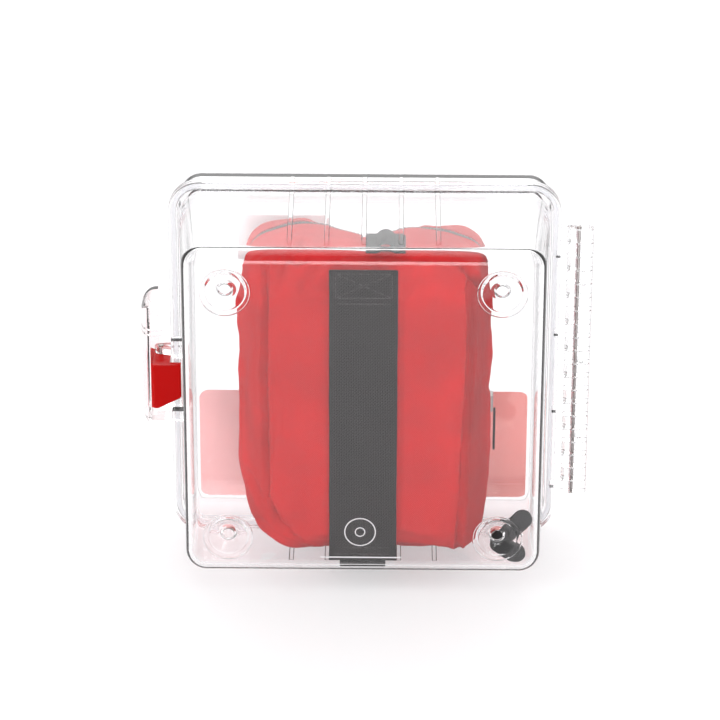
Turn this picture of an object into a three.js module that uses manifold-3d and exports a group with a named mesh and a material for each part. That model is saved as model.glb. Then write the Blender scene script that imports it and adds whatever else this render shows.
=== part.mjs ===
// A clear polycarbonate wall case for a bleeding-control kit: a deep rear shell, a hinged front cover,
// a side latch, and inside it a strapped nylon pouch that holds a tourniquet and its dressings.
// Millimetres. X runs from the latch side to the hinge side, Y away from the wall, Z up.
// The origin is the middle of the rear shell's flat wall face.
import * as THREE from 'three';
import { mergeVertices } from 'three/addons/utils/BufferGeometryUtils.js';
import Module from 'manifold-3d';

const wasm = await Module();
wasm.setup();

// Driving dimensions
const wall = 3;
const touchGap = 0.3;
const shellDepth = 74;
const floorHalf = 100;
const rimHalf = 104.9;
const flangeHalf = 111;
const flangeThick = 3.4;
const cornerFloor = 12;
const cornerRim = 14;
const cornerFlange = 18;
const cornerSteps = 6;
const edgeRound = 7.5;

const coverBack = 74.6;
const coverFront = 101.3;
const coverRootHalf = 105.7;
const coverFrontHalf = 105;
const gasketInner = 106.9;
const gasketOuter = 109.1;
const gasketDepth = 2;

const holeSpacing = 152.4;
const holeRadius = 3.35;
const cupRadius = 12.9;
const cupTop = 6.8;

const ribPitch = 20.5;
const ribCount = 5;
const ribWidth = 2.8;
const ribHeight = 1.6;

const pinX = 121.3;
const pinY = 74.3;
const pinRadius = 1.4;
const knucklePitch = 8.4;
const knuckleCount = 20;
const knuckleHalfThick = 4.4;
const knuckleReach = 8.4;

const latchTop = 37.6;
const latchBottom = -38;
const latchPinX = -117.5;
const latchPinY = 83;
const latchPinRadius = 1.5;

const pouchLeft = -69;
const pouchRight = 70;
const pouchBottom = -94;
const pouchTop = 92;
const pouchNear = 5.6;
const pouchFar = 69;
const pouchWall = 1.8;
const zipNear = 44.4;
const zipFar = 47.6;
const webbing = 38;
const webbingThick = 1.8;
const windlassLength = 118;

// Finishes
const finish = (color, roughness, metalness = 0) =>
  new THREE.MeshStandardMaterial({ color, roughness, metalness });
const clearPlastic = finish(0xe9eef2, 0.05);
const silicone = finish(0xdfe3e6, 0.4);
const steel = finish(0xb9bcc0, 0.25, 1);
const redPlastic = finish(0xc81408, 0.18);
const redVinyl = finish(0xd9483f, 0.35);
const paleVinyl = finish(0xf3d7d4, 0.4);
const redNylon = finish(0xb9141a, 0.85);
const darkWebbing = finish(0x3b3436, 0.9);
const blackFabric = finish(0x171517, 0.9);
const blackPlastic = finish(0x1b1b1c, 0.45);
const paperWrap = finish(0xe8e4d8, 0.7);

// Booleans
const toSolid = (geometry) => {
  const bare = geometry.clone();
  bare.deleteAttribute('normal');
  bare.deleteAttribute('uv');
  const merged = mergeVertices(bare, 1e-4);
  return new wasm.Manifold(new wasm.Mesh({
    numProp: 3,
    vertProperties: new Float32Array(merged.attributes.position.array),
    triVerts: new Uint32Array(merged.index.array),
  }));
};

const toGeometry = (solid) => {
  const mesh = solid.getMesh();
  const geometry = new THREE.BufferGeometry();
  geometry.setAttribute('position', new THREE.BufferAttribute(mesh.vertProperties, 3));
  geometry.setIndex(new THREE.BufferAttribute(mesh.triVerts, 1));
  return geometry;
};

const build = (base, added, removed) => {
  let solid = toSolid(base);
  for (const piece of added) solid = solid.add(toSolid(piece));
  for (const piece of removed) solid = solid.subtract(toSolid(piece));
  return toGeometry(solid);
};

const keepCommon = (a, b) => toGeometry(toSolid(a).intersect(toSolid(b)));

// A closed skin through rings of equal point count, with a flat cap on the first and the last ring.
const loft = (rings) => {
  const count = rings[0].length;
  const positions = rings.flat().flatMap((p) => [p.x, p.y, p.z]);
  const index = [];
  for (let r = 0; r + 1 < rings.length; r++) {
    for (let i = 0; i < count; i++) {
      const j = (i + 1) % count;
      const a = r * count;
      const b = a + count;
      index.push(a + i, a + j, b + j, a + i, b + j, b + i);
    }
  }
  const last = (rings.length - 1) * count;
  for (let i = 1; i + 1 < count; i++) {
    index.push(0, i + 1, i);
    index.push(last, last + i, last + i + 1);
  }
  if (volume(positions, index) < 0) index.reverse();
  const geometry = new THREE.BufferGeometry();
  geometry.setAttribute('position', new THREE.Float32BufferAttribute(positions, 3));
  geometry.setIndex(index);
  return geometry;
};

const volume = (positions, index) => {
  const corner = (k) => new THREE.Vector3().fromArray(positions, index[k] * 3);
  let sum = 0;
  for (let k = 0; k < index.length; k += 3) {
    sum += corner(k).dot(corner(k + 1).cross(corner(k + 2)));
  }
  return sum;
};

// One ring at depth y: a rectangle with round corners, centred on (cx, cz).
const roundedRing = (y, halfX, halfZ, radius, cx = 0, cz = 0) => {
  const ring = [];
  const turns = [[1, 1], [-1, 1], [-1, -1], [1, -1]];
  turns.forEach(([sx, sz], corner) => {
    for (let k = 0; k <= cornerSteps; k++) {
      const angle = (corner + k / cornerSteps) * Math.PI / 2;
      const x = cx + sx * (halfX - radius) + radius * Math.cos(angle);
      const z = cz + sz * (halfZ - radius) + radius * Math.sin(angle);
      ring.push(new THREE.Vector3(x, y, z));
    }
  });
  return ring;
};

const squareRing = (y, half, radius) => roundedRing(y, half, half, radius);

const box = (x0, x1, y0, y1, z0, z1) =>
  new THREE.BoxGeometry(x1 - x0, y1 - y0, z1 - z0)
    .translate((x0 + x1) / 2, (y0 + y1) / 2, (z0 + z1) / 2);

// Outline in X and Y, extruded along Z
const prismZ = (outline, z0, z1) =>
  new THREE.ExtrudeGeometry(outline, { depth: z1 - z0, bevelEnabled: false, curveSegments: 5 })
    .translate(0, 0, z0);

// Outline in X and Z, extruded along Y
const prismY = (outline, y0, y1) =>
  new THREE.ExtrudeGeometry(outline, { depth: y1 - y0, bevelEnabled: false, curveSegments: 8 })
    .rotateX(Math.PI / 2).translate(0, y1, 0);

// Outline in Y and Z, extruded along X
const prismX = (outline, x0, x1) =>
  new THREE.ExtrudeGeometry(outline, { depth: x1 - x0, bevelEnabled: false, curveSegments: 8 })
    .rotateY(Math.PI / 2).rotateX(Math.PI / 2).translate(x0, 0, 0);

const polygon = (points) => new THREE.Shape(points.map(([a, b]) => new THREE.Vector2(a, b)));

const roundedOutline = (x0, x1, y0, y1, r, target = new THREE.Shape()) => {
  target.moveTo(x0 + r, y0);
  target.lineTo(x1 - r, y0);
  target.absarc(x1 - r, y0 + r, r, -Math.PI / 2, 0);
  target.lineTo(x1, y1 - r);
  target.absarc(x1 - r, y1 - r, r, 0, Math.PI / 2);
  target.lineTo(x0 + r, y1);
  target.absarc(x0 + r, y1 - r, r, Math.PI / 2, Math.PI);
  target.lineTo(x0, y0 + r);
  target.absarc(x0 + r, y0 + r, r, Math.PI, 1.5 * Math.PI);
  return target;
};

const rodAlongZ = (x, y, radius, z0, z1, sides = 20) =>
  new THREE.CylinderGeometry(radius, radius, z1 - z0, sides)
    .rotateX(Math.PI / 2).translate(x, y, (z0 + z1) / 2);

const rodAlongY = (x, z, radius, y0, y1, sides = 16) =>
  new THREE.CylinderGeometry(radius, radius, y1 - y0, sides).translate(x, (y0 + y1) / 2, z);

const turned = (profile, x, z) =>
  new THREE.LatheGeometry(profile.map(([r, y]) => new THREE.Vector2(r, y)), 24).translate(x, 0, z);

// A stiffening rib on the outside of a drafted wall, running from y0 to y1. side is 1 for the top wall.
const wallRib = (x, side, y0, y1, half0, half1, lead) => {
  const section = (y, half, height) => {
    const low = half - 1.5;
    const top = half + height;
    const w = ribWidth / 2;
    return [[-w, low], [w, low], [w, top - 0.7], [w * 0.5, top], [-w * 0.5, top], [-w, top - 0.7]]
      .map(([dx, z]) => new THREE.Vector3(x + dx, y, side * z));
  };
  const slope = (y) => half0 + (half1 - half0) * (y - y0) / (y1 - y0);
  const flatNear = section(y0, slope(y0), -0.2);
  return loft([flatNear, section(y0 + lead, slope(y0 + lead), ribHeight), section(y1, half1, ribHeight)]);
};

const ribPlaces = () => {
  const places = [];
  for (let i = 0; i < ribCount; i++) {
    const x = (i - (ribCount - 1) / 2) * ribPitch;
    places.push([x, 1], [x, -1]);
  }
  return places;
};

const wallHalfAt = (y) => floorHalf + (rimHalf - floorHalf) * y / (shellDepth - flangeThick);

// Rings round the tub's rear edge, from its flat face to its side wall, outside or a wall's thickness inside
const edgeRings = (inset, steps) => {
  const sideHalf = wallHalfAt(edgeRound);
  const radius = edgeRound - inset;
  const rings = [];
  for (let k = 0; k <= steps; k++) {
    const angle = k / steps * Math.PI / 2;
    const half = sideHalf - edgeRound + radius * Math.sin(angle);
    rings.push(squareRing(edgeRound - radius * Math.cos(angle), half, half - sideHalf + cornerFloor));
  }
  return rings;
};

// A knuckle's outline: a web from the flange, and a barrel with two round outer corners
const knuckleOutline = (webLow, webHigh) => {
  const low = pinY - knuckleHalfThick;
  const high = pinY + knuckleHalfThick;
  const round = 3.4;
  const outline = polygon([[flangeHalf - 1.3, webLow], [pinX - 6.2, webLow], [pinX - 4.6, low]]);
  outline.lineTo(pinX + knuckleReach - round, low);
  outline.absarc(pinX + knuckleReach - round, low + round, round, -Math.PI / 2, 0);
  outline.absarc(pinX + knuckleReach - round, high - round, round, 0, Math.PI / 2);
  outline.lineTo(pinX - 4.6, high);
  outline.lineTo(pinX - 6.2, webHigh);
  outline.lineTo(flangeHalf - 1.3, webHigh);
  return outline;
};

// Hinge knuckles, numbered from the bottom: even ones belong to the shell, odd ones to the cover.
const knuckles = (odd, webLow, webHigh) => {
  const pieces = [];
  const bottom = -knucklePitch * knuckleCount / 2;
  for (let i = odd ? 1 : 0; i < knuckleCount; i += 2) {
    const z0 = bottom + i * knucklePitch + touchGap;
    const z1 = z0 + knucklePitch - 2 * touchGap;
    pieces.push(prismZ(knuckleOutline(webLow, webHigh), z0, z1));
  }
  return pieces;
};

const hingeBore = () =>
  rodAlongZ(pinX, pinY, pinRadius + 0.35, -knucklePitch * knuckleCount, knucklePitch * knuckleCount, 14);

// Small moulding holes in the hinge's outer lip, and notches in the flange, at one common spacing
const hingeMarkPitch = 49;
const hingeMarks = () =>
  [1, 0, -1].map((k) => rodAlongY(pinX + 3.3, k * hingeMarkPitch + 1.4, 1.1, 60, 90, 10));
const flangeNotches = () =>
  [1.5, 0.5, -0.5, -1.5].map((k) => {
    const z = k * hingeMarkPitch - 5.4;
    return box(flangeHalf - 2.6, flangeHalf + 1, 68, shellDepth + 1, z - 1.5, z + 1.5);
  });

// Rear shell: a drafted tub with a rim flange, four screw cups, ribs, hinge knuckles and latch cheeks
function rearShell() {
  const flangeUnder = shellDepth - flangeThick;
  const innerRim = rimHalf - wall;
  const tub = loft([
    ...edgeRings(0, 4),
    squareRing(flangeUnder, rimHalf, cornerRim),
    squareRing(flangeUnder, flangeHalf, cornerFlange),
    squareRing(shellDepth, flangeHalf, cornerFlange),
    squareRing(shellDepth, innerRim, cornerRim - wall),
    ...edgeRings(wall, 3).reverse(),
  ]);
  const added = ribPlaces().map(([x, side]) =>
    wallRib(x, side, 12, flangeUnder + 0.5, wallHalfAt(12), rimHalf, 5));
  const removed = [hingeBore(), ...hingeMarks(), ...flangeNotches()];
  for (const sx of [-1, 1]) {
    for (const sz of [-1, 1]) {
      const x = sx * holeSpacing / 2;
      const z = sz * holeSpacing / 2;
      added.push(turned([[0, wall - 0.2], [cupRadius, wall - 0.2], [6.4, cupTop], [0, cupTop]], x, z));
      removed.push(turned([[0, -1], [11.6, -1], [10.9, 0], [4.6, 3.6], [holeRadius, 3.6],
        [holeRadius, 5.4], [5, cupTop + 0.1], [5, cupTop + 1], [0, cupTop + 1]], x, z));
      removed.push(turned([[13.4, -1], [14.3, -1], [14.3, 0.5], [13.4, 0.5], [13.4, -1]], x, z));
    }
  }
  added.push(...knuckles(false, flangeUnder + touchGap, shellDepth - touchGap));
  added.push(box(-flangeHalf + 0.3, -rimHalf + 1, 64.5, flangeUnder + 1, 4.4, 15.5));
  added.push(box(-flangeHalf + 0.3, -rimHalf + 1, 64.5, flangeUnder + 1, -36, -29.3));
  return build(tub, added, removed);
}

// Front cover: a shallow tray with a flange, a gasket groove, ribs, knuckles and the latch's two ears
function frontCover() {
  const flangeTop = coverBack + flangeThick;
  const tray = loft([
    squareRing(coverFront, coverFrontHalf - 1.8, cornerFloor - 1.6),
    squareRing(coverFront - 0.6, coverFrontHalf - 0.5, cornerFloor - 0.5),
    squareRing(coverFront - 1.9, coverFrontHalf, cornerFloor),
    squareRing(flangeTop, coverRootHalf, cornerRim),
    squareRing(flangeTop, flangeHalf, cornerFlange),
    squareRing(coverBack, flangeHalf, cornerFlange),
    squareRing(coverBack, gasketOuter + touchGap, cornerFlange - 1.6),
    squareRing(coverBack + gasketDepth, gasketOuter + touchGap, cornerFlange - 1.6),
    squareRing(coverBack + gasketDepth, gasketInner - touchGap, cornerFlange - 4.4),
    squareRing(coverBack, gasketInner - touchGap, cornerFlange - 4.4),
    squareRing(coverBack, coverRootHalf - wall, cornerRim - wall),
    squareRing(coverFront - 6, coverFrontHalf - wall, cornerFloor - wall),
    squareRing(coverFront - wall, coverFrontHalf - wall - 2.4, cornerFloor - wall - 2),
  ]);
  const added = ribPlaces().map(([x, side]) =>
    wallRib(x, side, 96, flangeTop - 0.5, coverFrontHalf, coverRootHalf, -4));
  added.push(...knuckles(true, coverBack + touchGap, flangeTop - touchGap));
  const ear = polygon([[-103.4, 78], [-104, flangeTop - 0.6], [-110.5, flangeTop - 0.6]]);
  ear.lineTo(latchPinX, latchPinY - 3.6);
  ear.absarc(latchPinX, latchPinY, 3.6, -Math.PI / 2, -1.5 * Math.PI, true);
  ear.lineTo(-103.4, 88);
  added.push(prismZ(ear, 0.3, 4), prismZ(ear, -33, -29));
  const latchBore = rodAlongZ(latchPinX, latchPinY, latchPinRadius + touchGap, -40, 10);
  return build(tray, added, [hingeBore(), ...hingeMarks(), latchBore]);
}

function coverGasket() {
  const y0 = coverBack - touchGap;
  const y1 = y0 + gasketDepth;
  const outer = loft([squareRing(y0, gasketOuter, cornerFlange - 1.9), squareRing(y1, gasketOuter, cornerFlange - 1.9)]);
  const hole = loft([
    squareRing(y0 - 1, gasketInner, cornerFlange - 4.1),
    squareRing(y1 + 1, gasketInner, cornerFlange - 4.1),
  ]);
  return build(outer, [], [hole]);
}

const hingePin = () => rodAlongZ(pinX, pinY, pinRadius, -84.6, 84.6, 16);
const latchPin = () => rodAlongZ(latchPinX, latchPinY, latchPinRadius, -33.6, 4.6, 16);

// Latch lever: a clear curved shell with end walls, open towards the cover, with two cross webs
function latchLever() {
  const outline = new THREE.Shape();
  outline.moveTo(-113, 92);
  outline.lineTo(-121, 92);
  outline.quadraticCurveTo(-128.5, 91, -128.5, 81);
  outline.quadraticCurveTo(-128.5, 70, -124, 65.4);
  outline.lineTo(-113, 65.4);
  const hollow = new THREE.Shape();
  hollow.moveTo(-110, 95);
  hollow.lineTo(-119, 95);
  hollow.lineTo(-119, 89.6);
  hollow.lineTo(-121, 89.6);
  hollow.quadraticCurveTo(-126.2, 88.8, -126.2, 81);
  hollow.quadraticCurveTo(-126.2, 72, -122.4, 67.6);
  hollow.lineTo(-122.4, 60);
  hollow.lineTo(-110, 60);
  const rough = prismZ(outline, latchBottom, latchTop);
  const rounded = roundedOutline(-140, -109, latchBottom, latchTop, 8);
  const ended = keepCommon(rough, prismY(rounded, 60, 99));
  const web = new THREE.Shape();
  web.moveTo(-115.2, 67);
  web.lineTo(-124, 67);
  web.quadraticCurveTo(-127.2, 72, -127.2, 81);
  web.lineTo(-126.6, 85.4);
  web.lineTo(-115.2, 86.6);
  const webs = [18, 21.2].map((z) => prismZ(web, z - 0.5, z + 0.5));
  const opened = build(ended, [], [prismZ(hollow, latchBottom + 2.4, latchTop - 2.4)]);
  return build(opened, webs, []);
}

// Latch hook: the solid red insert whose toe grips behind the shell's flange
function latchHook() {
  const outline = new THREE.Shape();
  outline.moveTo(-105.3, 70.3);
  outline.lineTo(-111.8, 70.3);
  outline.lineTo(-111.8, 84);
  outline.quadraticCurveTo(-112.2, 88.6, -117.5, 88.8);
  outline.quadraticCurveTo(-125.6, 88.4, -125.8, 81);
  outline.quadraticCurveTo(-125.8, 72.4, -122, 67.4);
  outline.lineTo(-120.5, 66.2);
  outline.lineTo(-106, 66.2);
  outline.lineTo(-105.3, 67);
  const blank = prismZ(outline, -28.1, 2.9);
  const topCut = polygon([[-100, -0.6], [-121.6, -0.6], [-125.9, 2.8], [-127, 4], [-100, 4]]);
  const lowCut = polygon([[-100, -18.4], [-104.9, -21], [-118.4, -28], [-118.4, -31], [-100, -31]]);
  const bore = rodAlongZ(latchPinX, latchPinY, latchPinRadius + 0.4, -40, 10);
  return build(blank, [], [prismY(topCut, 60, 99), prismY(lowCut, 60, 99), bore]);
}

// Printed films on the outside of the cover's front
const film = (halfX, halfZ, radius, cx, cz) =>
  loft([touchGap, touchGap + 0.4].map((rise) => roundedRing(coverFront + rise, halfX, halfZ, radius, cx, cz)));
const frontLabel = () => film(96.8, 35.1, 6, -0.2, -67.7);
const cornerLabel = () => film(26, 12.5, 2, -47, 65);

// Pouch: two soft trays that meet at a zip
const pouchRing = (y, inset, radius) => roundedRing(
  y,
  (pouchRight - pouchLeft) / 2 - inset,
  (pouchTop - pouchBottom) / 2 - inset,
  radius,
  (pouchRight + pouchLeft) / 2,
  (pouchTop + pouchBottom) / 2,
);
const tray = (near, mouth) => {
  const way = Math.sign(mouth - near);
  return loft([
    pouchRing(near, 8, 8),
    pouchRing(near + way * 2.5, 2.6, 12),
    pouchRing(near + way * 8, 0, 14),
    pouchRing(mouth, 0, 14),
    pouchRing(mouth, pouchWall, 12.4),
    pouchRing(near + way * 9, pouchWall, 12.4),
    pouchRing(near + way * 4, 4.6, 10.4),
    pouchRing(near + way * pouchWall, 9.4, 7),
  ]);
};
const pouchBody = () => tray(pouchNear, zipNear - touchGap);
const pouchLid = () => tray(pouchFar, zipFar + touchGap);
const pouchZip = () => build(
  loft([pouchRing(zipNear, 0.4, 13.6), pouchRing(zipFar, 0.4, 13.6)]),
  [],
  [loft([pouchRing(zipNear - 1, 2.2, 11.8), pouchRing(zipFar + 1, 2.2, 11.8)])],
);

const zipSlider = () => build(
  box(pouchRight + 0.1, pouchRight + 2.6, 43, 49, -17, -6),
  [box(pouchRight + 2.4, pouchRight + 3.6, 44.8, 47.2, -15.5, -8)],
  [],
);
const zipPull = () => {
  const outline = roundedOutline(43.4, 48.6, -42, -15.9, 2.4);
  return prismX(outline, pouchRight + 3.9, pouchRight + 5.1);
};

// Webbing strap down the pouch's back, its narrower tail tucked under the pouch, and the carry handle on top
const strapNear = pouchNear - touchGap - webbingThick;
const strapEnd = -92.4;
const backStrap = () =>
  box(-webbing / 2, webbing / 2, strapNear, strapNear + webbingThick, strapEnd, 88.5);
function strapTail() {
  const under = pouchBottom - touchGap;
  const edge = strapNear + 0.4;
  const outline = polygon([
    [edge, strapEnd - touchGap], [edge, under - 0.4], [edge + 1.2, under - 1.6], [55, under - 1.6],
    [55, under], [edge + 1.6, under], [edge + 1.6, strapEnd - touchGap],
  ]);
  return prismX(outline, -13, 13);
}
function carryHandle() {
  const base = pouchTop + touchGap;
  const outline = new THREE.Shape();
  outline.moveTo(-12, base);
  outline.lineTo(-6, base);
  outline.quadraticCurveTo(9, base + 5.6, 24, base);
  outline.lineTo(30, base);
  outline.lineTo(30, base + 1.6);
  outline.lineTo(24.4, base + 1.6);
  outline.quadraticCurveTo(9, base + 7, -6.4, base + 1.6);
  outline.lineTo(-12, base + 1.6);
  return prismY(outline, 16, 41);
}

// Hook-and-loop tie: two round-ended tabs that fork in the lower corner beside the pouch
function hookLoopTie() {
  const tab = (x0, z0, x1, z1, r) => {
    const angle = Math.atan2(z1 - z0, x1 - x0);
    const length = Math.hypot(x1 - x0, z1 - z0);
    const outline = new THREE.Shape();
    outline.absarc(0, 0, r, Math.PI / 2, 1.5 * Math.PI);
    outline.lineTo(length, -r);
    outline.absarc(length, 0, r, -Math.PI / 2, Math.PI / 2);
    return new THREE.ExtrudeGeometry(outline, { depth: 2.6, bevelEnabled: false, curveSegments: 8 })
      .rotateZ(angle).rotateX(Math.PI / 2).translate(x0, 10.2, z0);
  };
  return build(tab(77.5, -82, 90.5, -67.5, 5.4), [tab(77.5, -83.5, 87, -89.6, 5.6)], []);
}

// Tourniquet: folded band, buckle, base plate, windlass clip and strap; the windlass turns on the plate
function tourniquetBand() {
  const band = roundedOutline(9.4, 25.4, -82, 78, 7.6);
  band.holes.push(roundedOutline(12, 22.8, -79.4, 75.4, 5, new THREE.Path()));
  return prismX(band, -webbing / 2, webbing / 2);
}
const tourniquetPlate = () => prismY(roundedOutline(-19, 19, -40, 62, 6), 25.8, 27.6);
function tourniquetBuckle() {
  const frame = roundedOutline(-24, 24, -78, -48, 4);
  for (const [z0, z1] of [[-73, -66], [-61, -54]]) {
    frame.holes.push(roundedOutline(-19.5, 19.5, z0, z1, 1.5, new THREE.Path()));
  }
  return prismY(frame, 25.8, 30.2);
}
function windlassClip() {
  const outline = polygon([[-15, 28], [15, 28], [15, 35], [11.5, 35.6], [9, 31], [-9, 31], [-11.5, 35.6], [-15, 35]]);
  return prismZ(outline, 30, 42);
}
const windlassStrap = () => box(-16.5, 16.5, 27.9, 29.1, 44, 60);
function windlassRod() {
  const half = windlassLength / 2;
  const profile = [[0, -half], [3.2, -half], [4, -half + 1.5], [4, -34], [3.2, -30], [3.2, 30],
    [4, 34], [4, half - 1.5], [3.2, half], [0, half]];
  return new THREE.LatheGeometry(profile.map(([r, y]) => new THREE.Vector2(r, y)), 16)
    .rotateZ(Math.PI / 2).translate(0, 40.6, 0);
}
const tensionRibbon = () => rodAlongY(0, 0, 5, 27.9, 37, 16);

const softPack = (x0, x1, y0, y1, z0, z1, edge) => {
  const ring = (y, inset) => roundedRing(
    y, (x1 - x0) / 2 - inset, (z1 - z0) / 2 - inset, edge + 1, (x0 + x1) / 2, (z0 + z1) / 2);
  return loft([ring(y0, edge), ring(y0 + edge, 0), ring(y1 - edge, 0), ring(y1, edge)]);
};

const model = new THREE.Group();
const place = (name, geometry, material) => {
  const mesh = new THREE.Mesh(geometry, material);
  mesh.name = name;
  model.add(mesh);
};

place('rear_shell', rearShell(), clearPlastic);
place('front_cover', frontCover(), clearPlastic);
place('cover_gasket', coverGasket(), silicone);
place('hinge_pin', hingePin(), steel);
place('latch_lever', latchLever(), clearPlastic);
place('latch_hook', latchHook(), redPlastic);
place('latch_pin', latchPin(), steel);
place('front_label', frontLabel(), redVinyl);
place('corner_label', cornerLabel(), paleVinyl);
place('pouch_body', pouchBody(), redNylon);
place('pouch_lid', pouchLid(), redNylon);
place('pouch_zip', pouchZip(), blackFabric);
place('zip_slider', zipSlider(), steel);
place('zip_pull', zipPull(), blackFabric);
place('back_strap', backStrap(), darkWebbing);
place('strap_tail', strapTail(), darkWebbing);
place('carry_handle', carryHandle(), darkWebbing);
place('hook_loop_tie', hookLoopTie(), blackFabric);
place('tourniquet_band', tourniquetBand(), blackFabric);
place('tourniquet_plate', tourniquetPlate(), blackPlastic);
place('tourniquet_buckle', tourniquetBuckle(), blackPlastic);
place('windlass_clip', windlassClip(), blackPlastic);
place('windlass_strap', windlassStrap(), paperWrap);
place('windlass_rod', windlassRod(), blackPlastic);
place('tension_ribbon', tensionRibbon(), blackFabric);
place('gauze_pack', softPack(-60, -4, 46, 63, -86, -8, 3), paperWrap);
place('dressing_pack', softPack(2, 60, 46, 64, -86, 20, 4), paperWrap);
place('gloves_pack', softPack(-58, -4, 46, 57, 0, 80, 3), paperWrap);

export default model;
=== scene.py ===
import math
import bpy
import bmesh
from mathutils import Matrix, Vector, noise


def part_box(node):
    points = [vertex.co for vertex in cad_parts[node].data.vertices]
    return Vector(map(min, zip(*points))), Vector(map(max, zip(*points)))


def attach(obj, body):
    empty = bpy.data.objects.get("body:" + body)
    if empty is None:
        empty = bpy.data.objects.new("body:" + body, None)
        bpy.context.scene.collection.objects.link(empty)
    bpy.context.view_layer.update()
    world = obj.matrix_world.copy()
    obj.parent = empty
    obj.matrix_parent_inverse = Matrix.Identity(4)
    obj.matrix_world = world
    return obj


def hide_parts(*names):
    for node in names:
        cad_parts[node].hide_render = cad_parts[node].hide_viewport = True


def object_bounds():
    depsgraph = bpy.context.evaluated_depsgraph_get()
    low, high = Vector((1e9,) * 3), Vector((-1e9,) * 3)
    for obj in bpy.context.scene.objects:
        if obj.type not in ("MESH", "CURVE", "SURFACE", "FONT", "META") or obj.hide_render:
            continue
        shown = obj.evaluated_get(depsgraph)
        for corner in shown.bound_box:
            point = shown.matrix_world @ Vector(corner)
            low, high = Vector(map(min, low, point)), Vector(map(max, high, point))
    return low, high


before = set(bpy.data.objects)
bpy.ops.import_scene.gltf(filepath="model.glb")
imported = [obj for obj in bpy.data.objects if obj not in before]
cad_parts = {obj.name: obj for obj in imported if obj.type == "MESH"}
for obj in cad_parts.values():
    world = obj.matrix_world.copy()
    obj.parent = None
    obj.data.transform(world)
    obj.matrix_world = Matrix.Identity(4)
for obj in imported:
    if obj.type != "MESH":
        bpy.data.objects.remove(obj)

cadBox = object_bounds()
mm = 0.001
cornerSteps = 14      # facets round each corner of the case


def say(text):
    print("scene:", text)


viewSetup = {
    "elevation": 25.82,      # degrees above the case's own level
    "turn": 0.48,
    "roll": 0.18,
    "place": (0.0132, -1.7926, 0.9031),
    "lens": 180.15,
    "sensor": 36,
    "clip": (0.05, 20),
}
stageSetup = {
    "floorFront": -3.0,      # the table ends here, towards the viewer
    "floorBack": 3.5,
    "floorHalf": 3.5,
    "floorColour": (0.56, 0.555, 0.56),
    "floorGlow": 0.42,
    "backLight": 2.0,        # the white backdrop behind the case
    "seenBackdrop": 0.985,   # the same backdrop where nothing stands before it
    "backdropWay": (0, 0.9, 0.435),       # the brightest part of the backdrop, behind and above
    # how bright the room is, from straight away from the backdrop (0) to straight at it (1)
    "roomShades": [(0.0, 0.06), (0.04, 0.10), (0.16, 0.2), (0.45, 0.2), (0.62, 0.34), (0.93, 0.42),
                   (0.985, 1.0)],
}
# each lamp's place, what it points at, its width and height, and its power
studioLamps = {
    "overhead": ((0.0, 0.25, 1.5), (0, 0.05, 0), (1.6, 1.3), 6),
    "leftSoftbox": ((-1.5, -0.35, 0.85), (0, 0.03, 0), (0.9, 1.1), 10),
    "rightSoftbox": ((1.5, -0.15, 0.8), (0, 0.03, 0), (0.8, 1.0), 6),
    "frontFill": ((0.15, -1.6, 0.42), (0, 0, 0), (1.0, 0.7), 11),
}


def makeCamera():
    data = bpy.data.cameras.new("camera")
    data.lens = viewSetup["lens"]
    data.sensor_width = viewSetup["sensor"]
    data.clip_start, data.clip_end = viewSetup["clip"]
    camera = bpy.data.objects.new("camera", data)
    bpy.context.collection.objects.link(camera)
    tip = Matrix.Rotation(math.radians(90 - viewSetup["elevation"]), 4, "X")
    turn = Matrix.Rotation(math.radians(viewSetup["turn"]), 4, "Z")
    roll = Matrix.Rotation(math.radians(viewSetup["roll"]), 4, "Z")
    camera.matrix_world = Matrix.Translation(viewSetup["place"]) @ turn @ tip @ roll
    bpy.context.scene.camera = camera


def makeLamp(name, place, aim, size, power):
    data = bpy.data.lights.new(name, "AREA")
    data.shape = "RECTANGLE"
    data.size, data.size_y = size
    data.energy = power
    lamp = bpy.data.objects.new(name, data)
    bpy.context.collection.objects.link(lamp)
    lamp.location = place
    lamp.rotation_euler = (Vector(aim) - Vector(place)).to_track_quat("-Z", "Y").to_euler()


def makeWorld():
    # bright behind the case, dim towards the viewer, and plain white where the camera sees it directly
    world = bpy.data.worlds.new("studio")
    world.use_nodes = True
    bpy.context.scene.world = world
    tree = world.node_tree
    tree.nodes.clear()
    out = tree.nodes.new("ShaderNodeOutputWorld")
    back = tree.nodes.new("ShaderNodeBackground")
    link = tree.links.new
    coords = tree.nodes.new("ShaderNodeTexCoord")
    towards = tree.nodes.new("ShaderNodeVectorMath")
    towards.operation = "DOT_PRODUCT"
    towards.inputs[1].default_value = stageSetup["backdropWay"]
    link(coords.outputs["Generated"], towards.inputs[0])
    half = mathNode(tree, "MULTIPLY_ADD", towards.outputs["Value"], 0.5, 0.5)
    spread = tree.nodes.new("ShaderNodeValToRGB")
    shades = stageSetup["roomShades"]
    ramp = spread.color_ramp.elements
    while len(ramp) < len(shades):
        ramp.new(0.5)
    for stop, (place, shade) in zip(ramp, shades):
        stop.position = place
        stop.color = (shade, shade, shade, 1)
    link(half, spread.inputs["Fac"])
    strong = mathNode(tree, "MULTIPLY", spread.outputs["Color"], stageSetup["backLight"])
    path = tree.nodes.new("ShaderNodeLightPath")
    direct = tree.nodes.new("ShaderNodeMix")
    direct.data_type = "FLOAT"
    direct.inputs["B"].default_value = stageSetup["seenBackdrop"]
    back.inputs["Color"].default_value = (1, 1, 1, 1)
    link(path.outputs["Is Camera Ray"], direct.inputs["Factor"])
    link(strong, direct.inputs["A"])
    link(direct.outputs["Result"], back.inputs["Strength"])
    link(back.outputs[0], out.inputs["Surface"])


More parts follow.
